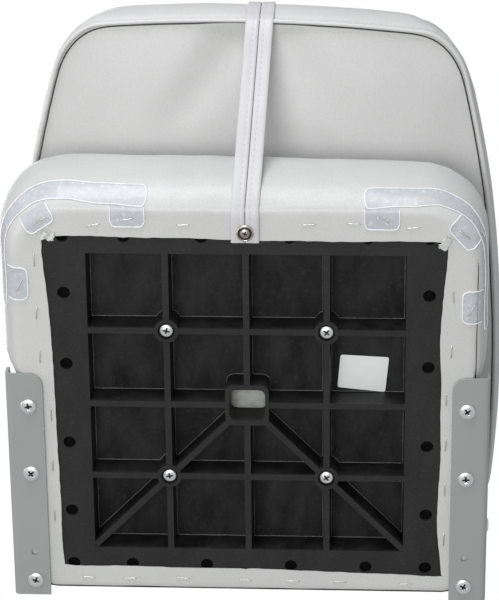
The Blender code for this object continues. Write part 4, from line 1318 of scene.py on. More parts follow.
@dataclass
class PanAndBrackets:
    """The ribbed black plate, the foam that shows through its slot, and the painted angles."""

    shop: Workshop
    edge: float = 0.0005
    arm_edge: float = 0.00045
    flat: float = 0.000012
    rub: float = 0.00048
    pocket_floor: float = 0.003
    same_level: float = 0.0003
    inner_corner: float = -0.6
    holes: tuple[Point, ...] = ((0.144, 0.1435), (0.144, 0.0345), (0.144, 0.0955), (0.0345, 0.1435),
                                (0.0955, 0.1435))
    hole_radius: float = 0.0050
    hole_shade_heights: Point = (0.0034, 0.00375)
    foam_half: Point = (0.0143, 0.0133)
    foam_low: float = 0.0306
    foam_high: float = 0.0345
    foam_swell: float = 0.0024
    label: tuple[Point, ...] = ((0.0741, -0.0356), (0.1130, -0.0337), (0.1100, -0.0034), (0.0716, -0.0072))
    label_heights: Point = (0.02895, 0.02915)
    label_corner: float = 0.002

    def pan(self) -> None:
        """The plate, with the small radii of a moulding on its edges and in its corners."""
        shape = self.shop.copy_node("seat_pan", self.edge)
        self.shop.finish("pan_moulding", shape, BLACK, Body.SEAT, ("seat_pan",), sharp=25.0, flat=self.flat)

    def corner_lines(self) -> None:
        """Painted highlight: lighter lines along the fillets where the pockets' walls meet their floors."""
        plain = self.shop.copy_node("seat_pan", 0.0)
        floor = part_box("seat_pan")[1].z - self.shop.bolts.z - self.pocket_floor
        shape = Shape()
        ring = Outline.circle(self.rub)
        for edge in plain.bm.edges:
            start, end = (vert.co.copy() for vert in edge.verts)
            level = max(abs(start.z - floor), abs(end.z - floor)) < self.same_level
            if level and len(edge.link_faces) == 2 and edge.calc_face_angle_signed() < self.inner_corner:
                side = (end - start).normalized().cross(UP).normalized()
                shape.sweep([start, end], ring, [side] * 2, [UP] * 2)
        plain.bm.free()
        self.shop.finish("pocket_fillets", shape, FILLET_HIGHLIGHT, Body.SEAT, sharp=80.0)

    def hole_shades(self) -> None:
        """Painted shade: near-black discs down in the moulding holes round the grid."""
        shape = Shape()
        low, high = self.hole_shade_heights
        for x, y in self.holes:
            for flip_x in (-1, 1):
                for flip_y in (-1, 1):
                    shape.stack([[Vector((flip_x * x + across, flip_y * y + up, PAN_LOW + z))
                                  for across, up in Outline.circle(self.hole_radius, 32)]
                                 for z in (low, high)])
        self.shop.finish("moulding_hole_shades", shape, HOLE_SHADE, Body.SEAT, sharp=50.0)

    def slot_foam(self) -> None:
        """The foam that swells a little way into the middle slot."""
        half_x, half_y = self.foam_half
        shape = Shape()
        rings = []
        for k in range(9):
            share = k / 8
            inset = 0.0125 * (1 - math.sqrt(max(0.0, 1 - (1 - share) ** 2)))
            radius = 0.0005 + max(0.0, 0.0045 - inset / 3)
            outline = Outline.rounded(half_x - inset, half_y - inset, half_y - inset, radius, radius, 0.002)
            ring = [Vector((x, y, self.foam_low + self.foam_swell * share)) for x, y in outline]
            rings.append(Outline.spaced(ring, 48))
        rings.append([Vector((p.x, p.y, self.foam_high)) for p in rings[-1]])
        shape.stack(rings)
        for vert in shape.bm.verts:
            vert.co.z += 0.0003 * noise.noise(vert.co * 320.0)
        self.shop.finish("slot_foam", shape, FOAM, Body.SEAT, sharp=SMOOTH)

    def brackets(self) -> None:
        """The seat's angles and the backrest's arms, with broken edges."""
        for side in Side:
            for node, body in (("seat_bracket_", Body.SEAT), ("back_bracket_", Body.BACKREST)):
                shape = self.shop.copy_node(node + side.word, self.arm_edge)
                self.shop.finish(node + side.word + "_painted", shape, PAINT, body, (node + side.word,),
                                 sharp=25.0, flat=self.flat)

    def sticker(self) -> None:
        """The small bare label on the roof of one pocket."""
        corners = [Vector(place) for place in self.label]
        outline: list[Point] = []
        for k, corner in enumerate(corners):
            first = corner + (corners[k - 1] - corner).normalized() * self.label_corner
            last = corner + (corners[(k + 1) % 4] - corner).normalized() * self.label_corner
            for share in (0.0, 0.25, 0.5, 0.75, 1.0):
                outline.append(tuple(first.lerp(corner, share).lerp(corner.lerp(last, share), share)))
        shape = Shape()
        shape.slab(outline, *self.label_heights)
        self.shop.finish("bare_label", shape, PAPER, Body.SEAT)

    def build(self) -> None:
        """Make all of them."""
        self.pan()
        self.corner_lines()
        self.hole_shades()
        self.slot_foam()
        self.brackets()
        self.sticker()


# Cushions


@dataclass
class SeatCushion:
    """The seat: a boxed cushion whose vinyl is turned under the pan and stapled there."""

    shop: Workshop
    plan: SeatPlan = SEAT
    slack: float = 0.0016
    voxel: float = 0.005
    sides: tuple[Point, ...] = ((0.0, 0.0), (0.2, 0.03), (0.45, 0.105), (0.7, 0.21), (0.9, 0.36), (1.0, 0.54),
                                (0.97, 0.68), (0.68, 0.80))
    crowns: tuple[Point, ...] = ((0.03, 0.9), (0.09, 0.95), (0.2, 0.975), (0.4, 0.99), (0.65, 0.996),
                                 (0.85, 0.998))
    hem: tuple[Point, ...] = (
        (-158.5, -141.2), (-144.9, -143.7), (-121.3, -143.9), (-90.0, -143.0), (-50.8, -142.9),
        (-11.0, -141.7), (13.0, -141.1), (42.7, -141.4), (81.6, -140.9), (120.4, -141.7), (155.5, -140.8),
        (157.6, -137.0), (157.6, -125.0), (155.9, -105.8), (154.6, -88.1), (153.4, -67.7), (153.0, -49.8),
        (154.6, -24.8), (154.3, 3.0), (155.0, 40.8), (154.2, 67.5), (153.0, 91.7), (154.2, 117.0),
        (157.0, 146.0), (155.0, 150.6), (123.8, 149.6), (82.9, 148.5), (42.0, 147.4), (2.6, 146.2),
        (-3.2, 148.2), (-7.3, 146.4), (-56.6, 146.4), (-97.8, 145.3), (-130.8, 145.9), (-149.5, 145.0),
        (-151.7, 141.0), (-152.9, 117.7), (-152.7, 88.6), (-153.2, 58.8), (-153.8, 32.0), (-154.1, -3.3),
        (-154.7, -38.2), (-155.9, -72.6), (-157.6, -98.1), (-159.5, -121.8), (-159.9, -137.0))
    piece: bpy.types.Object = field(init=False)

    def room(self, point: Vector) -> float:
        """How far the filling may push the skin out, less beside the arms and under the backrest."""
        beside_arms = ease(-0.034, -0.026, point.y) * ease(0.12, 0.165, abs(point.x))
        under_back = ease(0.074, 0.094, point.z)
        return 0.0045 * (1.0 - beside_arms * 0.75) * (1.0 - 0.8 * under_back)

    def mould(self) -> None:
        """Make the stuffed body."""
        rings = [self.plan.ring(share, height, -self.slack) for share, height in self.sides]
        count = len(rings[0])
        rings = [Outline.spaced(ring, count) for ring in rings]
        rings += [self.plan.crown(share, height, count) for share, height in self.crowns]
        shape = Shape()
        shape.stack(rings)
        self.piece = self.shop.blank("seat_cushion", shape)
        padding = Padding(self.piece, self.voxel)
        low, high = self.plan.floor + 0.003, self.plan.floor + 0.089 * 0.94
        held = [vert.index for vert in self.piece.data.vertices if not low < vert.co.z < high]
        padding.inflate(2.5, self.room, held, 14)
        padding.subdivide()
        padding.shift(self.settle)
        log.info("stuffed the seat cushion")

    def settle(self, point: Vector) -> Vector:
        """Level the underside, and let the sides show the pull of the hem and the foam's unevenness."""
        level = max(0.0, (point.z - self.plan.floor) / 0.004)
        if level < 1.0:
            uneven = 1.0 + noise.noise(Vector((point.x * 45.0, point.y * 45.0, 2.0)))
            puckers = 0.0002 * uneven * (1.0 - level)
            rise = 0.004 * level * level * (2.0 - level)
            point = Vector((point.x, point.y, self.plan.floor + puckers + rise))
        rise = (point.z - self.plan.floor) / self.plan.height
        fade = ease(0.0, 0.12, rise) * (1.0 - ease(0.7, 0.9, rise))
        outwards = Vector((point.x, point.y, 0.0)).normalized()
        around = math.atan2(point.y, point.x)
        pull = 0.5 * noise.noise(Vector((math.cos(around) * 9.0, math.sin(around) * 9.0, rise * 1.2)))
        soft = 0.5 * noise.noise(point * 14.0)
        near_arms = 1.0 - 0.8 * ease(-0.06, -0.03, point.y)
        return point + outwards * (0.0016 * fade * near_arms * (pull + soft - 0.2))

    def hem_line(self) -> list[Vector]:
        """The uneven cut edge of the turned-under vinyl, through the points where it was measured."""
        rough = [Vector((x, y, 0.0)) * 0.001 for x, y in self.hem]
        count = len(rough)
        line = []
        for k in range(count):
            before, start, end, after = (rough[(k + n) % count] for n in (-1, 0, 1, 2))
            for step in range(6):
                t = step / 6
                square = (2 * before - 5 * start + 4 * end - after) * t ** 2
                cube = (3 * start - before - 3 * end + after) * t ** 3
                bend = 0.5 * ((2 * start) + (end - before) * t + square + cube)
                wave = noise.noise(bend * 160.0) * 0.00045 + noise.noise(bend * 420.0) * 0.0002
                line.append(bend + Vector((wave, wave, 0.0)))
        return line

    def trim(self) -> None:
        """Cut away what the pan fills, and the opening inside the hem."""
        padding = Padding.resume(self.piece)
        inner = [(point.x, point.y) for point in self.hem_line()]
        opening = Shape()
        opening.slab(inner, -0.002, PAN_LOW + 0.0001)
        padding.cut(opening)
        border = Outline.rounded(self.plan.half - 0.0042, self.plan.front - 0.0032, self.plan.rear - 0.0022,
                                 self.plan.front_corner, self.plan.rear_corner)
        plate = Shape()
        plate.slab(border, PAN_LOW - 0.00008, PAN_LOW + 0.0052)
        padding.cut(plate)
        grid = Shape()
        grid.block((-0.1293, -0.1323, PAN_LOW + 0.004), (0.1293, 0.1323, 0.0330))
        padding.cut(grid)

    def place(self) -> None:
        """Put the cushion on the seat in place of its CAD cover and foam."""
        self.shop.place(self.piece, VINYL, Body.SEAT, ("seat_cover", "seat_foam"), sharp=50.0)


@dataclass
class BackCushion:
    """The backrest: a boxed cushion with a beaded edge round its face."""

    shop: Workshop
    plan: BackPlan = BACK
    slack: float = 0.0012
    voxel: float = 0.005
    rear_corner: float = 0.024
    sides: tuple[Point, ...] = ((1.0, 1.0), (0.3, 0.93), (0.0, 0.78), (-0.18, 0.52), (-0.06, 0.2),
                                (0.22, 0.045))
    faces: tuple[Point, ...] = ((0.03, 0.06), (0.095, 0.33), (0.21, 0.66), (0.38, 0.88), (0.6, 0.96),
                                (0.82, 0.97))
    piece: bpy.types.Object = field(init=False)

    def room(self, point: Vector) -> float:
        """How far the filling may push the skin out, less on the face, which lies over the seat."""
        over_seat = 1.0 - ease(0.102, 0.112, point.z)
        beside_arms = ease(-0.02, 0.03, point.y) * ease(0.12, 0.165, abs(point.x)) * over_seat
        return 0.004 * (1.0 - 0.55 * over_seat) * (1.0 - 0.8 * beside_arms)

    def mould(self) -> None:
        """Make the stuffed body."""
        rows = [(share * self.plan.inset + self.slack, self.plan.face + rise * self.plan.edge,
                 self.rear_corner * ease(0.1, 0.6, rise)) for share, rise in self.sides]
        rows += [(share * self.plan.half, self.plan.face - fall * self.plan.crown, 0.0)
                 for share, fall in self.faces]
        shape = Shape()
        shape.stack([self.plan.ring(inset, z, 240, wider) for inset, z, wider in rows])
        self.piece = self.shop.blank("back_cushion", shape)
        padding = Padding(self.piece, self.voxel)
        rear = self.plan.face + self.plan.edge - 0.004
        held = [vert.index for vert in self.piece.data.vertices
                if vert.co.z > rear or self.at_seam(vert.co)]
        padding.inflate(4.0, self.room, held)
        padding.subdivide()
        padding.shift(self.settle)
        log.info("stuffed the backrest cushion")

    def at_seam(self, point: Vector) -> bool:
        """Whether a point lies where the face is sewn to the boxing."""
        return abs(point.z - self.plan.face) < 0.0025 and point.z > self.plan.face - 0.0015

    def settle(self, point: Vector) -> Vector:
        """Level the rear, and let the face show the drag of the strap and its own unevenness."""
        if point.z > self.plan.face + self.plan.edge - 0.0012:
            return Vector((point.x, point.y, self.plan.face + self.plan.edge))
        on_face = 1.0 - ease(self.plan.face - 0.001, self.plan.face + 0.002, point.z)
        soft = (noise.noise(Vector((point.x * 9.0, point.y * 9.0, 5.0)))
                + 0.4 * noise.noise(Vector((point.x * 26.0, point.y * 20.0, 1.0))))
        aside = abs(point.x - 0.007)
        along = (aside - 0.012) * 0.57 + (point.y + 0.285) * 0.82
        across = (aside - 0.012) * 0.82 - (point.y + 0.285) * 0.57
        length = ease(0.0, 0.02, along) * (1.0 - ease(0.06, 0.13, along)) * (1.0 if point.x < 0.007 else 0.45)
        drag = length * (math.exp(-(across / 0.018) ** 2) - 0.2 * math.exp(-((across - 0.026) / 0.016) ** 2))
        beside = math.exp(-(max(0.0, aside - 0.011) / 0.030) ** 2) * ease(-0.295, -0.275, point.y)
        deep = 0.0026 if point.x < 0.007 else 0.0018
        return point + Vector((0.0, 0.0, on_face * (0.0009 * soft + 0.0026 * drag + deep * beside)))

    def seam_line(self, inset: float, z: float, count: int = 420) -> list[Vector]:
        """A line round the face's edge."""
        return self.plan.ring(inset, z, count)

    def place(self) -> None:
        """Put the cushion on the backrest in place of its CAD cover and foam."""
        self.shop.place(self.piece, VINYL, Body.BACKREST, ("back_cover", "back_foam"), sharp=50.0)


# Beads, rear panel and strap


@dataclass
class Beading:
    """The sewn beads: one round the backrest's face and one round the top of the seat."""

    shop: Workshop
    back: BackCushion
    seat: SeatCushion
    radius: float = 0.0019
    groove: float = 0.0008
    back_line: ClassVar[Point] = (0.0044, 0.1080)

    def section(self, radius: float) -> list[Point]:
        """A bead's section: a cord wrapped in vinyl, with the wrap pinched flat on its inner side."""
        points = []
        for k in range(14):
            turn = math.tau * k / 14
            pinch = 0.82 if 100 < math.degrees(turn) < 260 else 1.0
            points.append((radius * math.cos(turn) * pinch, radius * math.sin(turn)))
        return points

    def frames(self, path: list[Vector]) -> tuple[list[Vector], list[Vector]]:
        """Outward and upright unit vectors along a level closed line."""
        inwards = Outline.inwards([(point.x, point.y) for point in path])
        return [Vector((-n.x, -n.y, 0.0)) for n in inwards], [UP] * len(path)

    def lay(self, surface: Surface, path: list[Vector], sink: float) -> list[Vector]:
        """Move a line onto a skin.

        Args:
            surface: The skin.
            path: A level closed line near it.
            sink: How far the line then goes under the skin.

        Returns:
            The line on the skin, smoothed.
        """
        outwards, _ = self.frames(path)
        laid = [surface.nearest(p) - n * sink for p, n in zip(path, outwards)]
        for _ in range(12):
            laid = [(laid[k - 1] + laid[k] * 2 + laid[(k + 1) % len(laid)]) / 4 for k in range(len(laid))]
        return laid

    def groove_round(self, cushion: bpy.types.Object, line: list[Vector], width: float, depth: float,
                     down: bool) -> None:
        """Cut the sewn valley beside a bead.

        Args:
            cushion: The cushion's blank.
            line: The valley's line on the skin.
            width: Half of its width.
            depth: Its depth.
            down: Whether the skin faces down, as the backrest's face does.
        """
        outwards, ups = self.frames(line)
        sign = 1.0 if down else -1.0
        section = [(-width, -0.0008 * sign), (width, -0.0008 * sign), (0.0, depth * sign)]
        cutter = Shape()
        cutter.sweep(line, section, outwards, ups, closed=True)
        bmesh.ops.recalc_face_normals(cutter.bm, faces=cutter.bm.faces)
        Padding.resume(cushion).cut(cutter)

    def on_back(self) -> None:
        """The backrest's bead, outside a sewn valley that is cut into the face, with a thin dark line of
        painted shade laid in the valley.
        """
        skin = Surface(self.back.piece)
        edge = self.back.seam_line(*self.back_line)
        outwards, ups = self.frames(edge)
        bead = Shape()
        bead.sweep(edge, self.section(self.radius), outwards, ups, closed=True)
        self.shop.finish("back_bead", bead, BEADING, Body.BACKREST, ("back_piping",), sharp=SMOOTH)
        valley = self.lay(skin, self.back.seam_line(0.0064, 0.1075), 0.0)
        self.groove_round(self.back.piece, valley, self.groove, 0.0026, down=True)
        # a thin near-black tube in the valley: painted shade of the sewn gap
        seam = Shape()
        outwards, ups = self.frames(valley)
        line = [point + Vector((0.0, 0.0, 0.0003)) for point in valley]
        seam.sweep(line, Outline.circle(0.00045), outwards, ups, closed=True)
        self.shop.finish("back_seam_shade", seam, SLIT_AND_SEAM_SHADE, Body.BACKREST, sharp=SMOOTH)

    def on_seat(self) -> None:
        """The seat's bead, low on the shoulder where the top is sewn to the boxing."""
        skin = Surface(self.seat.piece)
        ring = Outline.spaced(self.seat.plan.ring(0.2, 0.86), 420)
        edge = self.lay(skin, ring, 0.0010)
        outwards, ups = self.frames(edge)
        bead = Shape()
        bead.sweep(edge, self.section(self.radius * 0.85), outwards, ups, closed=True)
        self.shop.finish("seat_bead", bead, BEADING, Body.SEAT, sharp=SMOOTH)

    def build(self) -> None:
        """Make both beads."""
        self.on_back()
        self.on_seat()


@dataclass
class RearPanel:
    """The vinyl-covered panel that closes the backrest behind."""

    shop: Workshop
    plan: BackPlan = BACK
    low: float = 0.1503
    thick: float = 0.0026
    crown: float = 0.0034
    inset: float = 0.008

    def board(self) -> None:
        """The board inside the backrest, which follows the panel's outline."""
        low, high = (corner.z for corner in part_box("back_frame"))
        shape = Shape()
        shape.slab(self.plan.outline(self.inset + 0.006), low, high)
        self.shop.finish("back_board", shape, BOARD, Body.BACKREST, ("back_frame",))

    def build(self) -> bpy.types.Object:
        """Make the panel and return its blank, which is placed after the strap is laid over it."""
        self.board()
        rows = [(self.inset + 0.0012, self.low), (self.inset + 0.0002, self.low + 0.0005),
                (self.inset, self.low + 0.0012), (self.inset + 0.0003, self.low + 0.0020),
                (self.inset + 0.0012, self.low + self.thick)]
        for k in range(1, 15):
            share = k / 15
            rise = self.crown * (1 - (1 - share) ** 2.4)
            rows.append((self.inset + 0.0012 + share * self.plan.half * 0.88, self.low + self.thick + rise))
        shape = Shape()
        shape.stack([self.plan.ring(inset, z, 240) for inset, z in rows])
        for vert in shape.bm.verts:
            if vert.co.z > self.low + self.thick:
                vert.co.z += 0.0004 * noise.noise(vert.co * 11.0) - 0.0002
        return self.shop.blank("rear_panel", shape)


@dataclass
class HoldDownStrap:
    """The strap that keeps the seat folded: a folded vinyl band with a sewn slit along its middle."""

    shop: Workshop
    seat: SeatCushion
    back: BackCushion
    panel: bpy.types.Object
    width: float = 0.0222
    fold: tuple[Point, ...] = ((0.22, 0.15), (0.25, 1.35), (0.6, 1.72), (2.6, 1.8), (3.9, 1.62), (4.3, 1.62),
                               (5.6, 1.8), (8.6, 1.86))
    outer_fold: tuple[Point, ...] = ((-1.0, 1.74), (-0.25, 1.35), (0.0, 0.9), (-0.2, 0.4), (-1.0, 0.05))
    inner_fold: Point = (5.0, 0.0)
    core: tuple[Point, ...] = ((-0.004, 0.00005), (0.004, 0.00005), (0.004, 0.0004), (-0.004, 0.0004))
    thread: float = 0.00026
    stitch: float = 0.0046
    stitch_row: float = 0.0041
    lean: float = 0.008
    seat_front: float = 0.168
    back_top: float = 0.2965
    end: float = 0.1400
    screw_y: float = 0.1484
    screw_x: float = 0.0
    anchor_y: float = 0.256
    hem_z: float = 0.0048
    last: Point = (-0.2445, 0.1562)
    steps: int = 170
    press_in: float = 0.0013
    path: list[Vector] = field(default_factory=list)

    def aside(self, y: float) -> float:
        """How far the strap leans to the right at a place along Y."""
        share = (-y - self.seat_front) / (self.back_top - self.seat_front)
        return self.lean * min(max(share, 0.0), 1.0)

    def route(self) -> None:
        """Find the tight line over both cushions and the panel."""
        points: list[Vector] = []
        for piece, reach in ((self.seat.piece, -0.145), (self.back.piece, -0.24), (self.panel, -0.24)):
            for vert in piece.data.vertices:
                if vert.co.y < reach and abs(vert.co.x - self.aside(vert.co.y)) < 0.012:
                    points.append(Vector((vert.co.y, vert.co.z)))
        points += [Vector((-self.end, self.hem_z)), Vector((-self.screw_y - 0.01, self.hem_z)),
                   Vector(self.last)]
        bead = min(self.back.seam_line(*Beading.back_line), key=lambda p: abs(p.x - self.lean) + (p.y > 0))
        for turn in (0.0, 30.0, 60.0, 90.0):
            out, down = math.cos(math.radians(turn)), math.sin(math.radians(turn))
            points.append(Vector((bead.y - Beading.radius * out, bead.z - Beading.radius * down)))
        order = geometry.convex_hull_2d(points)
        hull = [points[k] for k in order]
        start = min(range(len(hull)), key=lambda k: (hull[k] - Vector((-self.end, self.hem_z))).length)
        hull = hull[start:] + hull[:start]
        if hull[1].x > hull[-1].x:
            hull = [hull[0]] + hull[:0:-1]
        stop = max(range(len(hull)), key=lambda k: hull[k].y + 0.2 * hull[k].x)
        line = [Vector((0.0, p.x, p.y)) for p in hull[:stop + 1]]
        line = Outline.spaced(line, self.steps, closed=False)
        for _ in range(14):
            line = [line[0]] + [(a + b * 2 + c) / 4 for a, b, c in zip(line, line[1:], line[2:])] + [line[-1]]
        line = Outline.spaced(line, self.steps, closed=False)
        self.path = [Vector((self.aside(p.y), p.y, p.z)) for p in line]

    def frames(self, path: list[Vector]) -> tuple[list[Vector], list[Vector]]:
        """The strap's sideways and outward unit vectors along a line."""
        rights, ups = [], []
        for k in range(len(path)):
            ahead = (path[min(k + 1, len(path) - 1)] - path[max(k - 1, 0)]).normalized()
            up = Vector((0.0, ahead.y, ahead.z)).cross(Vector((1.0, 0.0, 0.0))).normalized()
            rights.append(Vector((1.0, 0.0, 0.0)))
            ups.append(up)
        if ups[0].z > 0:
            ups = [-up for up in ups]
        return rights, ups

    def press(self) -> None:
        """Sink the strap's line a little into the cushions, and dent them under it."""
        _, ups = self.frames(self.path)
        sunk = []
        for point, up in zip(self.path, ups):
            hold = ease(0.006, 0.03, point.z) * (1.0 - ease(0.085, 0.100, point.z))
            sunk.append(point - up * self.press_in * hold)
        self.path = sunk
        tree = kdtree.KDTree(len(sunk))
        for k, point in enumerate(sunk):
            tree.insert(Vector((0.0, point.y, point.z)), k)
        tree.balance()
        for piece in (self.seat.piece, self.back.piece, self.panel):
            for vert in piece.data.vertices:
                aside = abs(vert.co.x - self.aside(vert.co.y))
                if vert.co.y > -0.14 or aside > 0.055:
                    continue
                _, k, away = tree.find(Vector((0.0, vert.co.y, vert.co.z)))
                if away > 0.02:
                    continue
                above = (vert.co - Vector((vert.co.x, sunk[k].y, sunk[k].z))).dot(ups[k]) + 0.0003
                share = 1.0 - ease(0.0115, 0.050, aside) ** 0.6
                if above > 0.0 and vert.co.z > 0.0065:
                    vert.co -= ups[k] * above * share

    def half_section(self, side: int) -> list[Point]:
        """Section of one folded half, from the slit to the outer fold."""
        half = self.width / 2 * 1000.0
        right = [*self.fold, *((half + x, z) for x, z in self.outer_fold), self.inner_fold]
        return [(side * x * 0.001, z * 0.001) for x, z in right]

    def stitches(self, path: list[Vector], name: str) -> bpy.types.Object:
        """The two rows of stitches beside the slit.

        Args:
            path: The strap's line.
            name: The piece's name.

        Returns:
            The piece.
        """
        length = sum((b - a).length for a, b in zip(path, path[1:]))
        count = int(length / self.stitch)
        fine = Outline.spaced(path, count * 6 + 1, closed=False)
        rights, ups = self.frames(fine)
        shape = Shape()
        ring = Outline.circle(self.thread)
        for side in Side:
            for k in range(2, count - 1):
                rows = range(6 * k, 6 * k + 4)
                line = [fine[n] + rights[n] * side.value * self.stitch_row
                        + ups[n] * (0.00165 - 0.0003 * abs(n - 6 * k - 1.5)) for n in rows]
                shape.sweep(line, ring, [rights[n] for n in rows], [ups[n] for n in rows])
        return self.shop.finish(name, shape, THREAD, Body.BACKREST, sharp=SMOOTH)

    def bands(self, path: list[Vector], name: str, replaces: tuple[str, ...] = ()) -> list[bpy.types.Object]:
        """The two folded halves along a stretch of the strap's line.

        Args:
            path: The stretch.
            name: The pieces' name.
            replaces: CAD nodes that the left half stands for.

        Returns:
            The halves and their stitches.
        """
        rights, ups = self.frames(path)
        made = []
        for side in Side:
            shape = Shape()
            shape.sweep(path, self.half_section(side.value), rights, ups)
            made.append(self.shop.finish(f"{name}_{side.word}", shape, STRAP_VINYL_PAINTED_LILAC, Body.BACKREST,
                                         replaces if side is Side.LEFT else (), sharp=60.0))
        made.append(self.stitches(path, name + "_stitches"))
        return made

    def slit_shade(self, path: list[Vector], name: str) -> bpy.types.Object:
        """Painted shade: a near-black layer that shows dark in the slit between the halves."""
        rights, ups = self.frames(path)
        shape = Shape()
        shape.sweep(path, list(self.core), rights, ups)
        return self.shop.finish(name, shape, SLIT_AND_SEAM_SHADE, Body.BACKREST)

    def build(self) -> None:
        """Make the strap in two stretches: the free one between the seat and the backrest's seam, whose
        pieces get meshes of their own, and the one fixed over the backrest.
        """
        seam = self.back.plan.face + 0.004
        split = next(k for k, point in enumerate(self.path) if point.z > seam)
        free, fixed = self.path[:split + 1], self.path[split:]
        loose = self.bands(free, "strap_free", ("hold_down_strap",)) + [self.slit_shade(free, "strap_free_core")]
        self.bands(fixed, "strap_fixed")
        self.slit_shade(fixed, "strap_fixed_core")
        for piece in loose:
            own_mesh(piece)


@dataclass
class StrapFixings:
    """The cup washer and screw at each end of the strap."""

    shop: Workshop
    strap: HoldDownStrap
    size: ScrewSize = ScrewSize(0.0040, 0.0017, 0.0018, 0.0090, 0.0026)
    rim: tuple[Point, ...] = ((0.0020, 0.0001), (0.0065, 0.0001), (0.0068, 0.0003), (0.0068, 0.0008),
                              (0.0066, 0.0014), (0.0062, 0.0018), (0.0058, 0.0019), (0.0055, 0.0016),
                              (0.0052, 0.0010), (0.0050, 0.0003), (0.0020, 0.0002))
    # section of the ring of painted shade in the cup round the screw's head
    dark: tuple[Point, ...] = ((0.0024, 0.0004), (0.0050, 0.0004), (0.0052, 0.0007), (0.0024, 0.0007))
    seat: float = 0.0006

    def cup(self, place: Vector, along: Vector) -> Shape:
        """A rolled-rim cup washer whose foot is at a place."""
        shape = Shape()
        shape.turn(list(self.rim), place, along, steps=48, closed=True)
        return shape

    def grime(self, name: str, place: Vector, along: Vector, turn: float, body: Body) -> None:
        """Painted shade: the dark ring in the cup round the screw's head, and at the foot of its recess.

        Args:
            name: The piece's name.
            place: The cup's foot.
            along: From the cup's foot out of the cushion.
            turn: The recess's angle in degrees.
            body: The body that it rides on.
        """
        shape = Shape()
        shape.turn(list(self.dark), place, along, steps=48, closed=True)
        self.size.shade(shape, place + along * self.seat, -along, turn)
        self.shop.finish(name, shape, RECESS_SHADE, body, sharp=60.0)

    def build(self) -> None:
        """Fix both ends."""
        hem = Vector((self.strap.screw_x, -self.strap.screw_y, self.strap.hem_z - 0.0020))
        end = min(self.strap.path,
                  key=lambda p: abs(p.y + self.strap.anchor_y) + (0.0 if p.z > 0.14 else 1.0))
        anchor = Vector((end.x, end.y, end.z + 0.0018))
        for word, grime, place, along, into, turn, body in (
                ("strap", "strap_screw", hem, DOWN, UP, 20.0, Body.SEAT),
                ("strap_anchor", "strap_anchor", anchor, UP, DOWN, 65.0, Body.BACKREST)):
            washer, screw = word + "_washer", word + "_screw"
            self.shop.finish(washer + "_made", self.cup(place, along), NICKEL, body, (washer,))
            shape = self.size.shape(place + along * self.seat, into, turn, self.shop)
            self.shop.finish(screw + "_made", shape, DULL_NICKEL, body, (screw,), sharp=SCREW_SHARP)
            self.grime(grime + "_grime", place, along, turn, body)


# Clear guards, staples and scraps


@dataclass(frozen=True)
class Tab:
    """A tongue of the clear guard, folded under the hem and stapled there."""

    middle: Point
    inwards: Point
    length: float
    width: float = 0.027
    corner: float = 0.0045


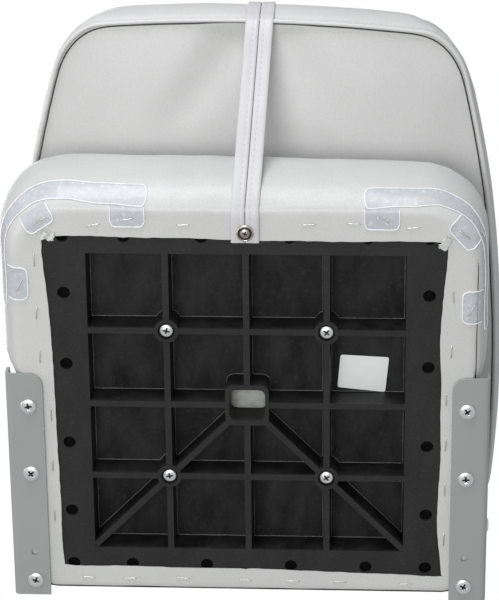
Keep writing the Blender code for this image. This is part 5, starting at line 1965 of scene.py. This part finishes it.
@dataclass
class CornerGuard:
    """A clear plastic strip round a front corner, held by three stapled tabs."""

    shop: Workshop
    seat: SeatCushion
    side: Side
    inner_end: float
    side_end: float
    tabs: tuple[Tab, ...]
    lows: tuple[Point, ...] = ((0.0, 0.0062), (0.035, 0.0075), (0.065, 0.0100), (0.100, 0.0125),
                               (0.140, 0.0160), (0.24, 0.0170))
    talls: tuple[Point, ...] = ((0.0, 0.0140), (0.065, 0.0140), (0.110, 0.0120), (0.24, 0.0120))
    stand_off: float = 0.0007
    film: float = 0.0005
    bead: float = 0.0005
    end_corner: float = 0.004

    def run(self) -> tuple[list[Vector], list[Vector]]:
        """The strip's way round the corner, as places and outward unit vectors."""
        ring = Outline.spaced(self.seat.plan.ring(0.56, 0.07), 900)
        outwards = [Vector((-n.x, -n.y, 0.0)) for n in Outline.inwards([(p.x, p.y) for p in ring])]
        sign = self.side.value
        keep = [k for k, p in enumerate(ring) if sign * p.x > self.inner_end and p.y < -self.side_end]
        keep.sort(key=lambda k: (sign * ring[k].x if ring[k].y < -0.17 else 1.0, ring[k].y))
        return [ring[k] for k in keep], [outwards[k] for k in keep]

    @staticmethod
    def between(table: tuple[Point, ...], at: float) -> float:
        """A value that is read off a short table."""
        for (start, low), (end, high) in zip(table, table[1:]):
            if at <= end:
                return low + (high - low) * ease(start, end, at)
        return table[-1][1]

    def edges_at(self, walked: float, total: float) -> Point:
        """Height of the strip's lower and upper edge at a distance along it."""
        from_end = min(walked, total - walked)
        rounding = 0.0
        if from_end < self.end_corner:
            rounding = self.end_corner - math.sqrt(self.end_corner ** 2 - (self.end_corner - from_end) ** 2)
        wave = 0.0005 * noise.noise(Vector((walked * 30.0, self.side.value, 0.0)))
        low, tall = self.between(self.lows, walked), self.between(self.talls, walked)
        return low + rounding + wave, low + tall - rounding + wave

    def strip(self) -> tuple[Shape, list[Vector]]:
        """The curved strip and the line round its edge."""
        skin = Surface(self.seat.piece)
        places, outwards = self.run()
        walked = [0.0]
        for first, second in zip(places, places[1:]):
            walked.append(walked[-1] + (second - first).length)
        rows = 8
        shape = Shape()
        grid = bmesh.ops.create_grid(
            shape.bm, x_segments=rows - 1, y_segments=len(places) - 1, size=1.0)["verts"]
        lower, upper = [], []
        for k, vert in enumerate(grid):
            n, row = divmod(k, rows)
            low, high = self.edges_at(walked[n], walked[-1])
            z = low + (high - low) * row / (rows - 1)
            start = Vector((places[n].x, places[n].y, z))
            vert.co = skin.from_outside(start, outwards[n], 0.02) + outwards[n] * self.stand_off
            if row == 0:
                lower.append(vert.co.copy())
            if row == rows - 1:
                upper.append(vert.co.copy())
        inner = [vert for vert in shape.bm.verts if not vert.is_boundary]
        for _ in range(3):
            bmesh.ops.smooth_vert(
                shape.bm, verts=inner, factor=0.5, use_axis_x=True, use_axis_y=True, use_axis_z=True)
        shape.bm.faces.ensure_lookup_table()
        shape.bm.normal_update()
        if shape.bm.faces[0].normal.dot(outwards[0]) < 0:
            bmesh.ops.reverse_faces(shape.bm, faces=shape.bm.faces)
        bmesh.ops.solidify(shape.bm, geom=shape.bm.faces[:], thickness=self.film)
        return shape, lower + upper[::-1]

    def tongue(self, tab: Tab, shape: Shape, skin: Surface) -> list[Vector]:
        """Add a tab to a shape.

        Args:
            tab: The tab.
            shape: What it is added to.
            skin: The cushion's skin, which it follows.

        Returns:
            The line along its three free sides.
        """
        columns, rows = 16, 18
        inwards = Vector((*tab.inwards, 0.0)).normalized()
        across = Vector((inwards.y, -inwards.x, 0.0))
        middle = Vector((*tab.middle, 0.0))
        part = Shape()
        grid = bmesh.ops.create_grid(part.bm, x_segments=columns, y_segments=rows, size=1.0)["verts"]
        outline: dict[tuple[int, int], Vector] = {}
        for k, vert in enumerate(grid):
            row, column = divmod(k, columns + 1)
            share = 2.0 * column / columns - 1.0
            over = max(0.0, abs(share) * tab.width / 2 - (tab.width / 2 - tab.corner))
            length = tab.length - (tab.corner - math.sqrt(max(0.0, tab.corner ** 2 - over ** 2)))
            along = row / rows * length
            spot = middle + across * share * tab.width / 2 + inwards * along
            under = skin.nearest(skin.from_outside(Vector((spot.x, spot.y, 0.012)), DOWN, 0.012))
            ripple = 0.0002 * noise.noise(middle * 90.0 + Vector((share, along * 200.0, 0.0)))
            vert.co = Vector((spot.x, spot.y, max(0.0044, under.z - 0.0007) - ripple))
            outline[(row, column)] = vert.co.copy()
        seen_from_below(part)
        bmesh.ops.solidify(part.bm, geom=part.bm.faces[:], thickness=self.film * 0.9)
        mesh = bpy.data.meshes.new("tongue")
        part.bm.to_mesh(mesh)
        part.bm.free()
        shape.bm.from_mesh(mesh)
        bpy.data.meshes.remove(mesh)
        left = [outline[(row, 0)] for row in range(2, rows + 1)]
        end = [outline[(rows, column)] for column in range(1, columns)]
        right = [outline[(row, columns)] for row in range(rows, 1, -1)]
        return left + end + right

    def rim(self, shape: Shape, line: list[Vector], closed: bool) -> None:
        """Add the whiter, denser line along an edge of the film."""
        line = Outline.spaced(line, max(12, int(len(line) * (1 if closed else 1.2))), closed)
        rights, ups = [], []
        for k in range(len(line)):
            before = line[k - 1] if closed or k else line[k]
            after = line[(k + 1) % len(line)] if closed or k + 1 < len(line) else line[k]
            ahead = (after - before).normalized()
            right = ahead.cross(Vector((0.3, 0.2, 1.0))).normalized()
            rights.append(right)
            ups.append(right.cross(ahead).normalized())
        shape.sweep(line, Outline.circle(self.bead), rights, ups, closed)

    def build(self) -> None:
        """Make the film and its rim."""
        film, edge = self.strip()
        rim, skin = Shape(), Surface(self.seat.piece)
        self.rim(rim, edge, closed=True)
        for tab in self.tabs:
            self.rim(rim, self.tongue(tab, film, skin), closed=False)
        word = self.side.word
        self.shop.finish(f"clear_guard_{word}", film, FILM, Body.SEAT, (f"corner_guard_{word}",), sharp=80.0,
                         closed=False)
        self.shop.finish(f"clear_guard_rim_{word}", rim, FILM_EDGE, Body.SEAT, sharp=SMOOTH)


@dataclass
class Staples:
    """The staples that hold the hem and the guards' tabs, and the gathered scraps at the front corners."""

    shop: Workshop
    crown: float = 0.0105
    wire: Point = (0.0009, 0.0005)
    hem_z: float = 0.0052
    tab_z: float = 0.0040
    on_hem: tuple[Place, ...] = (
        (-119.0, -153.2, 8.7), (-48.3, -153.8, 4.0), (49.7, -154.8, 3.0), (84.6, -155.9, -2.0),
        (130.3, -153.0, 7.0), (-166.1, -123.4, 89.0), (-165.9, -78.5, 84.0), (-164.7, -41.0, 88.0),
        (-157.6, 9.9, 91.0), (-158.0, 54.4, 88.0), (-158.2, 99.5, 92.0), (162.7, -95.8, 93.0),
        (162.0, -49.1, 88.0), (158.6, -7.7, 90.0), (158.9, 31.8, 86.0), (158.8, 71.8, 91.0),
        (158.7, 116.9, 89.0), (-98.1, 156.3, 2.0), (-54.3, 155.5, -3.0), (-3.2, 156.4, 0.0),
        (36.2, 156.6, 2.0), (74.8, 156.8, -2.0), (128.0, 157.7, 3.0), (-132.0, 155.8, -4.0))
    on_tabs: tuple[Place, ...] = (
        (-92.7, -158.4, 8.0), (-160.4, -156.6, 32.0), (-178.6, -102.2, 62.0),
        (107.0, -159.4, -25.0), (170.5, -148.0, -40.0), (177.3, -85.1, 66.0))

    def staple(self, shape: Shape, x: float, y: float, degrees: float, skin: float) -> None:
        """Add one staple, its legs sunk in the cloth.

        Args:
            shape: What it is added to.
            x: Its middle along X, in millimetres.
            y: Its middle along Y, in millimetres.
            degrees: Its angle, up to the right as it is seen from below.
            skin: Height of the surface that it presses on.
        """
        along = Vector((math.cos(math.radians(degrees)), -math.sin(math.radians(degrees)), 0.0))
        across = Vector((along.y, -along.x, 0.0))
        middle, half = Vector((x, y, 0.0)) * 0.001, self.crown / 2
        wide, thick = self.wire
        low = skin - thick * 0.9
        left = [(-half, skin + 0.0009), (-half, low + 0.0004), (-half + 0.0005, low + 0.0001),
                (-half + 0.0012, low)]
        spots = left + [(-reach, z) for reach, z in left[::-1]]
        line = [middle + along * reach + Vector((0.0, 0.0, z)) for reach, z in spots]
        ups = []
        for k in range(len(line)):
            ahead = (line[min(k + 1, len(line) - 1)] - line[max(k - 1, 0)]).normalized()
            ups.append(across.cross(ahead).normalized())
        flat = wide / 2 - 0.0002
        section = [(-wide / 2, 0.0), (-flat, -thick / 2), (flat, -thick / 2), (wide / 2, 0.0),
                   (flat, thick / 2), (-flat, thick / 2)]
        shape.sweep(line, section, [across] * len(line), ups)

    def scrap(self, name: str, x: float, y: float, turn: float) -> None:
        """A crumpled end of the gathered vinyl that sticks out of the hem's corner.

        Args:
            name: The piece's name.
            x: Its middle along X.
            y: Its middle along Y.
            turn: Its angle in degrees.
        """
        shape = Shape()
        grid = bmesh.ops.create_grid(shape.bm, x_segments=22, y_segments=12, size=1.0)["verts"]
        spin = Matrix.Rotation(math.radians(turn), 3, "Z")
        for vert in grid:
            u, v = vert.co.x, vert.co.y
            ragged = 1.0 + 0.28 * noise.noise(Vector((u * 3.1, v * 2.3, x * 50.0)))
            flat = spin @ Vector((u * 0.0052 * ragged, v * 0.0033 * (ragged + 0.15 * math.sin(u * 7.0)), 0.0))
            crumple = noise.noise(Vector((u * 3.0, v * 3.0, y * 40.0)))
            fold = 0.00045 * math.sin(u * 5.0 + 1.6 * v) + 0.0005 * crumple
            vert.co = Vector((x, y, 0.0036 + fold)) + flat
        seen_from_below(shape)
        bmesh.ops.solidify(shape.bm, geom=shape.bm.faces[:], thickness=0.0011)
        self.shop.finish(name, shape, BACKING, Body.SEAT, sharp=60.0, closed=False)

    def build(self) -> None:
        """Make the staples and the scraps."""
        hem, tabs = Shape(), Shape()
        for x, y, degrees in self.on_hem:
            self.staple(hem, x, y, degrees, self.hem_z)
        for x, y, degrees in self.on_tabs:
            self.staple(tabs, x, y, degrees, self.tab_z)
        self.shop.finish("hem_staples", hem, WIRE, Body.SEAT, sharp=60.0)
        self.shop.finish("tab_staples", tabs, WIRE, Body.SEAT, sharp=60.0)
        self.scrap("gathered_scrap_left", -0.1550, -0.1440, 12.0)
        self.scrap("gathered_scrap_right", 0.1555, -0.1405, -62.0)


def guards(shop: Workshop, seat: SeatCushion) -> list[CornerGuard]:
    """The two corner guards, with their tabs where they are stapled.

    Args:
        shop: The workshop.
        seat: The seat cushion that they go round.

    Returns:
        The left and the right guard.
    """
    left = (Tab((-0.0920, -0.1690), (0.0, 1.0), 0.0172),
            Tab((-0.1672, -0.1640), (0.56, 0.83), 0.0160, 0.0245),
            Tab((-0.1900, -0.1032), (1.0, 0.0), 0.0180))
    right = (Tab((0.1066, -0.1690), (0.0, 1.0), 0.0178),
             Tab((0.1776, -0.1536), (-0.745, 0.667), 0.0160, 0.0260),
             Tab((0.1875, -0.0866), (-1.0, 0.0), 0.0175))
    return [CornerGuard(shop, seat, Side.LEFT, 0.0757, 0.078, left),
            CornerGuard(shop, seat, Side.RIGHT, 0.0915, 0.062, right)]


# Stage


@dataclass
class Studio:
    """The pale floor, the soft lights and the camera, which looks up at the seat's underside."""

    shop: Workshop
    target: Place = (0.00281, -0.09085, 0.0067)
    turn: float = -8.0
    height: float = -67.884
    roll: float = -0.609
    distance: float = 2.0446
    lens: float = 156.0

    def floor(self) -> None:
        """A pale floor that can be seen and cast on from above, and looked through from below."""
        shape = Shape()
        bmesh.ops.create_grid(shape.bm, x_segments=1, y_segments=1, size=9.0)
        piece = self.shop.blank("studio_floor", shape, closed=False)
        made = bpy.data.materials.new("studio_floor")
        made.use_nodes = True
        sheet = NodeSheet(made.node_tree)
        made.node_tree.nodes.clear()
        out = sheet.node("ShaderNodeOutputMaterial")
        matt = sheet.node("ShaderNodeBsdfDiffuse", Color=(0.82, 0.82, 0.82, 1.0))
        clear = sheet.node("ShaderNodeBsdfTransparent")
        ray, facing = sheet.node("ShaderNodeLightPath"), sheet.node("ShaderNodeNewGeometry")
        seen = sheet.sum("MULTIPLY", ray.outputs["Is Camera Ray"],
                         sheet.sum("SUBTRACT", 1.0, facing.outputs["Backfacing"]))
        choice = sheet.node("ShaderNodeMixShader")
        sheet.join(seen, choice.inputs[0])
        sheet.join(clear.outputs[0], choice.inputs[1])
        sheet.join(matt.outputs[0], choice.inputs[2])
        sheet.join(choice.outputs[0], out.inputs["Surface"])
        piece.data.materials.append(made)

    def backdrop(self) -> None:
        """White where the camera looks past the object, softer where it lights it."""
        world = bpy.data.worlds.new("studio")
        bpy.context.scene.world = world
        world.use_nodes = True
        sheet = NodeSheet(world.node_tree)
        world.node_tree.nodes.clear()
        out = sheet.node("ShaderNodeOutputWorld")
        seen = sheet.node("ShaderNodeBackground", Color=(1.0, 1.0, 1.0, 1.0), Strength=1.0)
        light = sheet.node("ShaderNodeBackground", Color=(0.98, 0.99, 1.0, 1.0), Strength=0.45)
        ray, choice = sheet.node("ShaderNodeLightPath"), sheet.node("ShaderNodeMixShader")
        sheet.join(ray.outputs["Is Camera Ray"], choice.inputs[0])
        sheet.join(light.outputs[0], choice.inputs[1])
        sheet.join(seen.outputs[0], choice.inputs[2])
        sheet.join(choice.outputs[0], out.inputs["Surface"])
        bpy.context.scene.view_settings.view_transform = "Standard"

    def light(self, name: str, place: Place, size: float, power: float, colour: Colour) -> None:
        """Hang a soft square light that points at the seat.

        Args:
            name: The light's name.
            place: Where it hangs.
            size: Its side.
            power: Its power in watts.
            colour: Its colour.
        """
        lamp = bpy.data.lights.new(name, "AREA")
        lamp.shape, lamp.size, lamp.energy, lamp.color = "SQUARE", size, power, colour
        held = bpy.data.objects.new(name, lamp)
        held.location = place
        held.rotation_euler = (Vector((0.0, 0.0, 0.05)) - Vector(place)).to_track_quat("-Z", "Y").to_euler()
        bpy.context.scene.collection.objects.link(held)

    def camera(self) -> None:
        """The camera at the photograph's angle."""
        lens = bpy.data.cameras.new("camera")
        lens.sensor_width, lens.lens = 36.0, self.lens
        lens.clip_start, lens.clip_end = 0.05, 20.0
        held = bpy.data.objects.new("camera", lens)
        turn, height = math.radians(self.turn), math.radians(self.height)
        away = Vector((-math.sin(turn) * math.cos(height), -math.cos(turn) * math.cos(height),
                       math.sin(height)))
        held.location = Vector(self.target) + self.shop.bolts + away * self.distance
        right = (-away).cross(Vector((0.0, -1.0, 0.0))).normalized()
        level = Matrix((right, away.cross(right), away)).transposed()
        held.rotation_euler = (level @ Matrix.Rotation(math.radians(self.roll), 3, "Z")).to_euler()
        bpy.context.scene.collection.objects.link(held)
        bpy.context.scene.camera = held

    def build(self) -> None:
        """Set up the whole stage."""
        self.floor()
        self.backdrop()
        self.light("key_from_below", (-0.35, -0.55, -2.05), 1.1, 21.5, (1.0, 1.0, 0.985))
        self.light("fill_from_the_front", (-0.3, -2.1, -0.3), 0.9, 24.5, (0.965, 0.95, 1.0))
        self.light("low_side", (-1.9, -0.2, -0.5), 0.8, 6.0, (1.0, 1.0, 1.0))
        self.light("overhead", (-0.5, 0.5, 2.1), 1.4, 16.0, (1.0, 1.0, 1.0))
        self.camera()
        log.info("set the stage")


def main() -> None:
    """Build the object round the frame, then the stage, and report each step."""
    logging.basicConfig(level=logging.INFO, format="%(name)s: %(message)s")
    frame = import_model()
    shop = Workshop(frame)
    Studio(shop).build()
    PanAndBrackets(shop).build()
    Fasteners(shop).build()
    seat, back = SeatCushion(shop), BackCushion(shop)
    seat.mould()
    back.mould()
    panel = RearPanel(shop).build()
    strap = HoldDownStrap(shop, seat, back, panel)
    strap.route()
    strap.press()
    Beading(shop, back, seat).build()
    for guard in guards(shop, seat):
        guard.build()
    Staples(shop).build()
    seat.trim()
    seat.place()
    back.place()
    shop.place(panel, VINYL, Body.BACKREST, ("back_panel",), sharp=50.0)
    strap.build()
    StrapFixings(shop, strap).build()
    log.info("built %d pieces", len(shop.made))


if __name__ == "__main__":
    main()
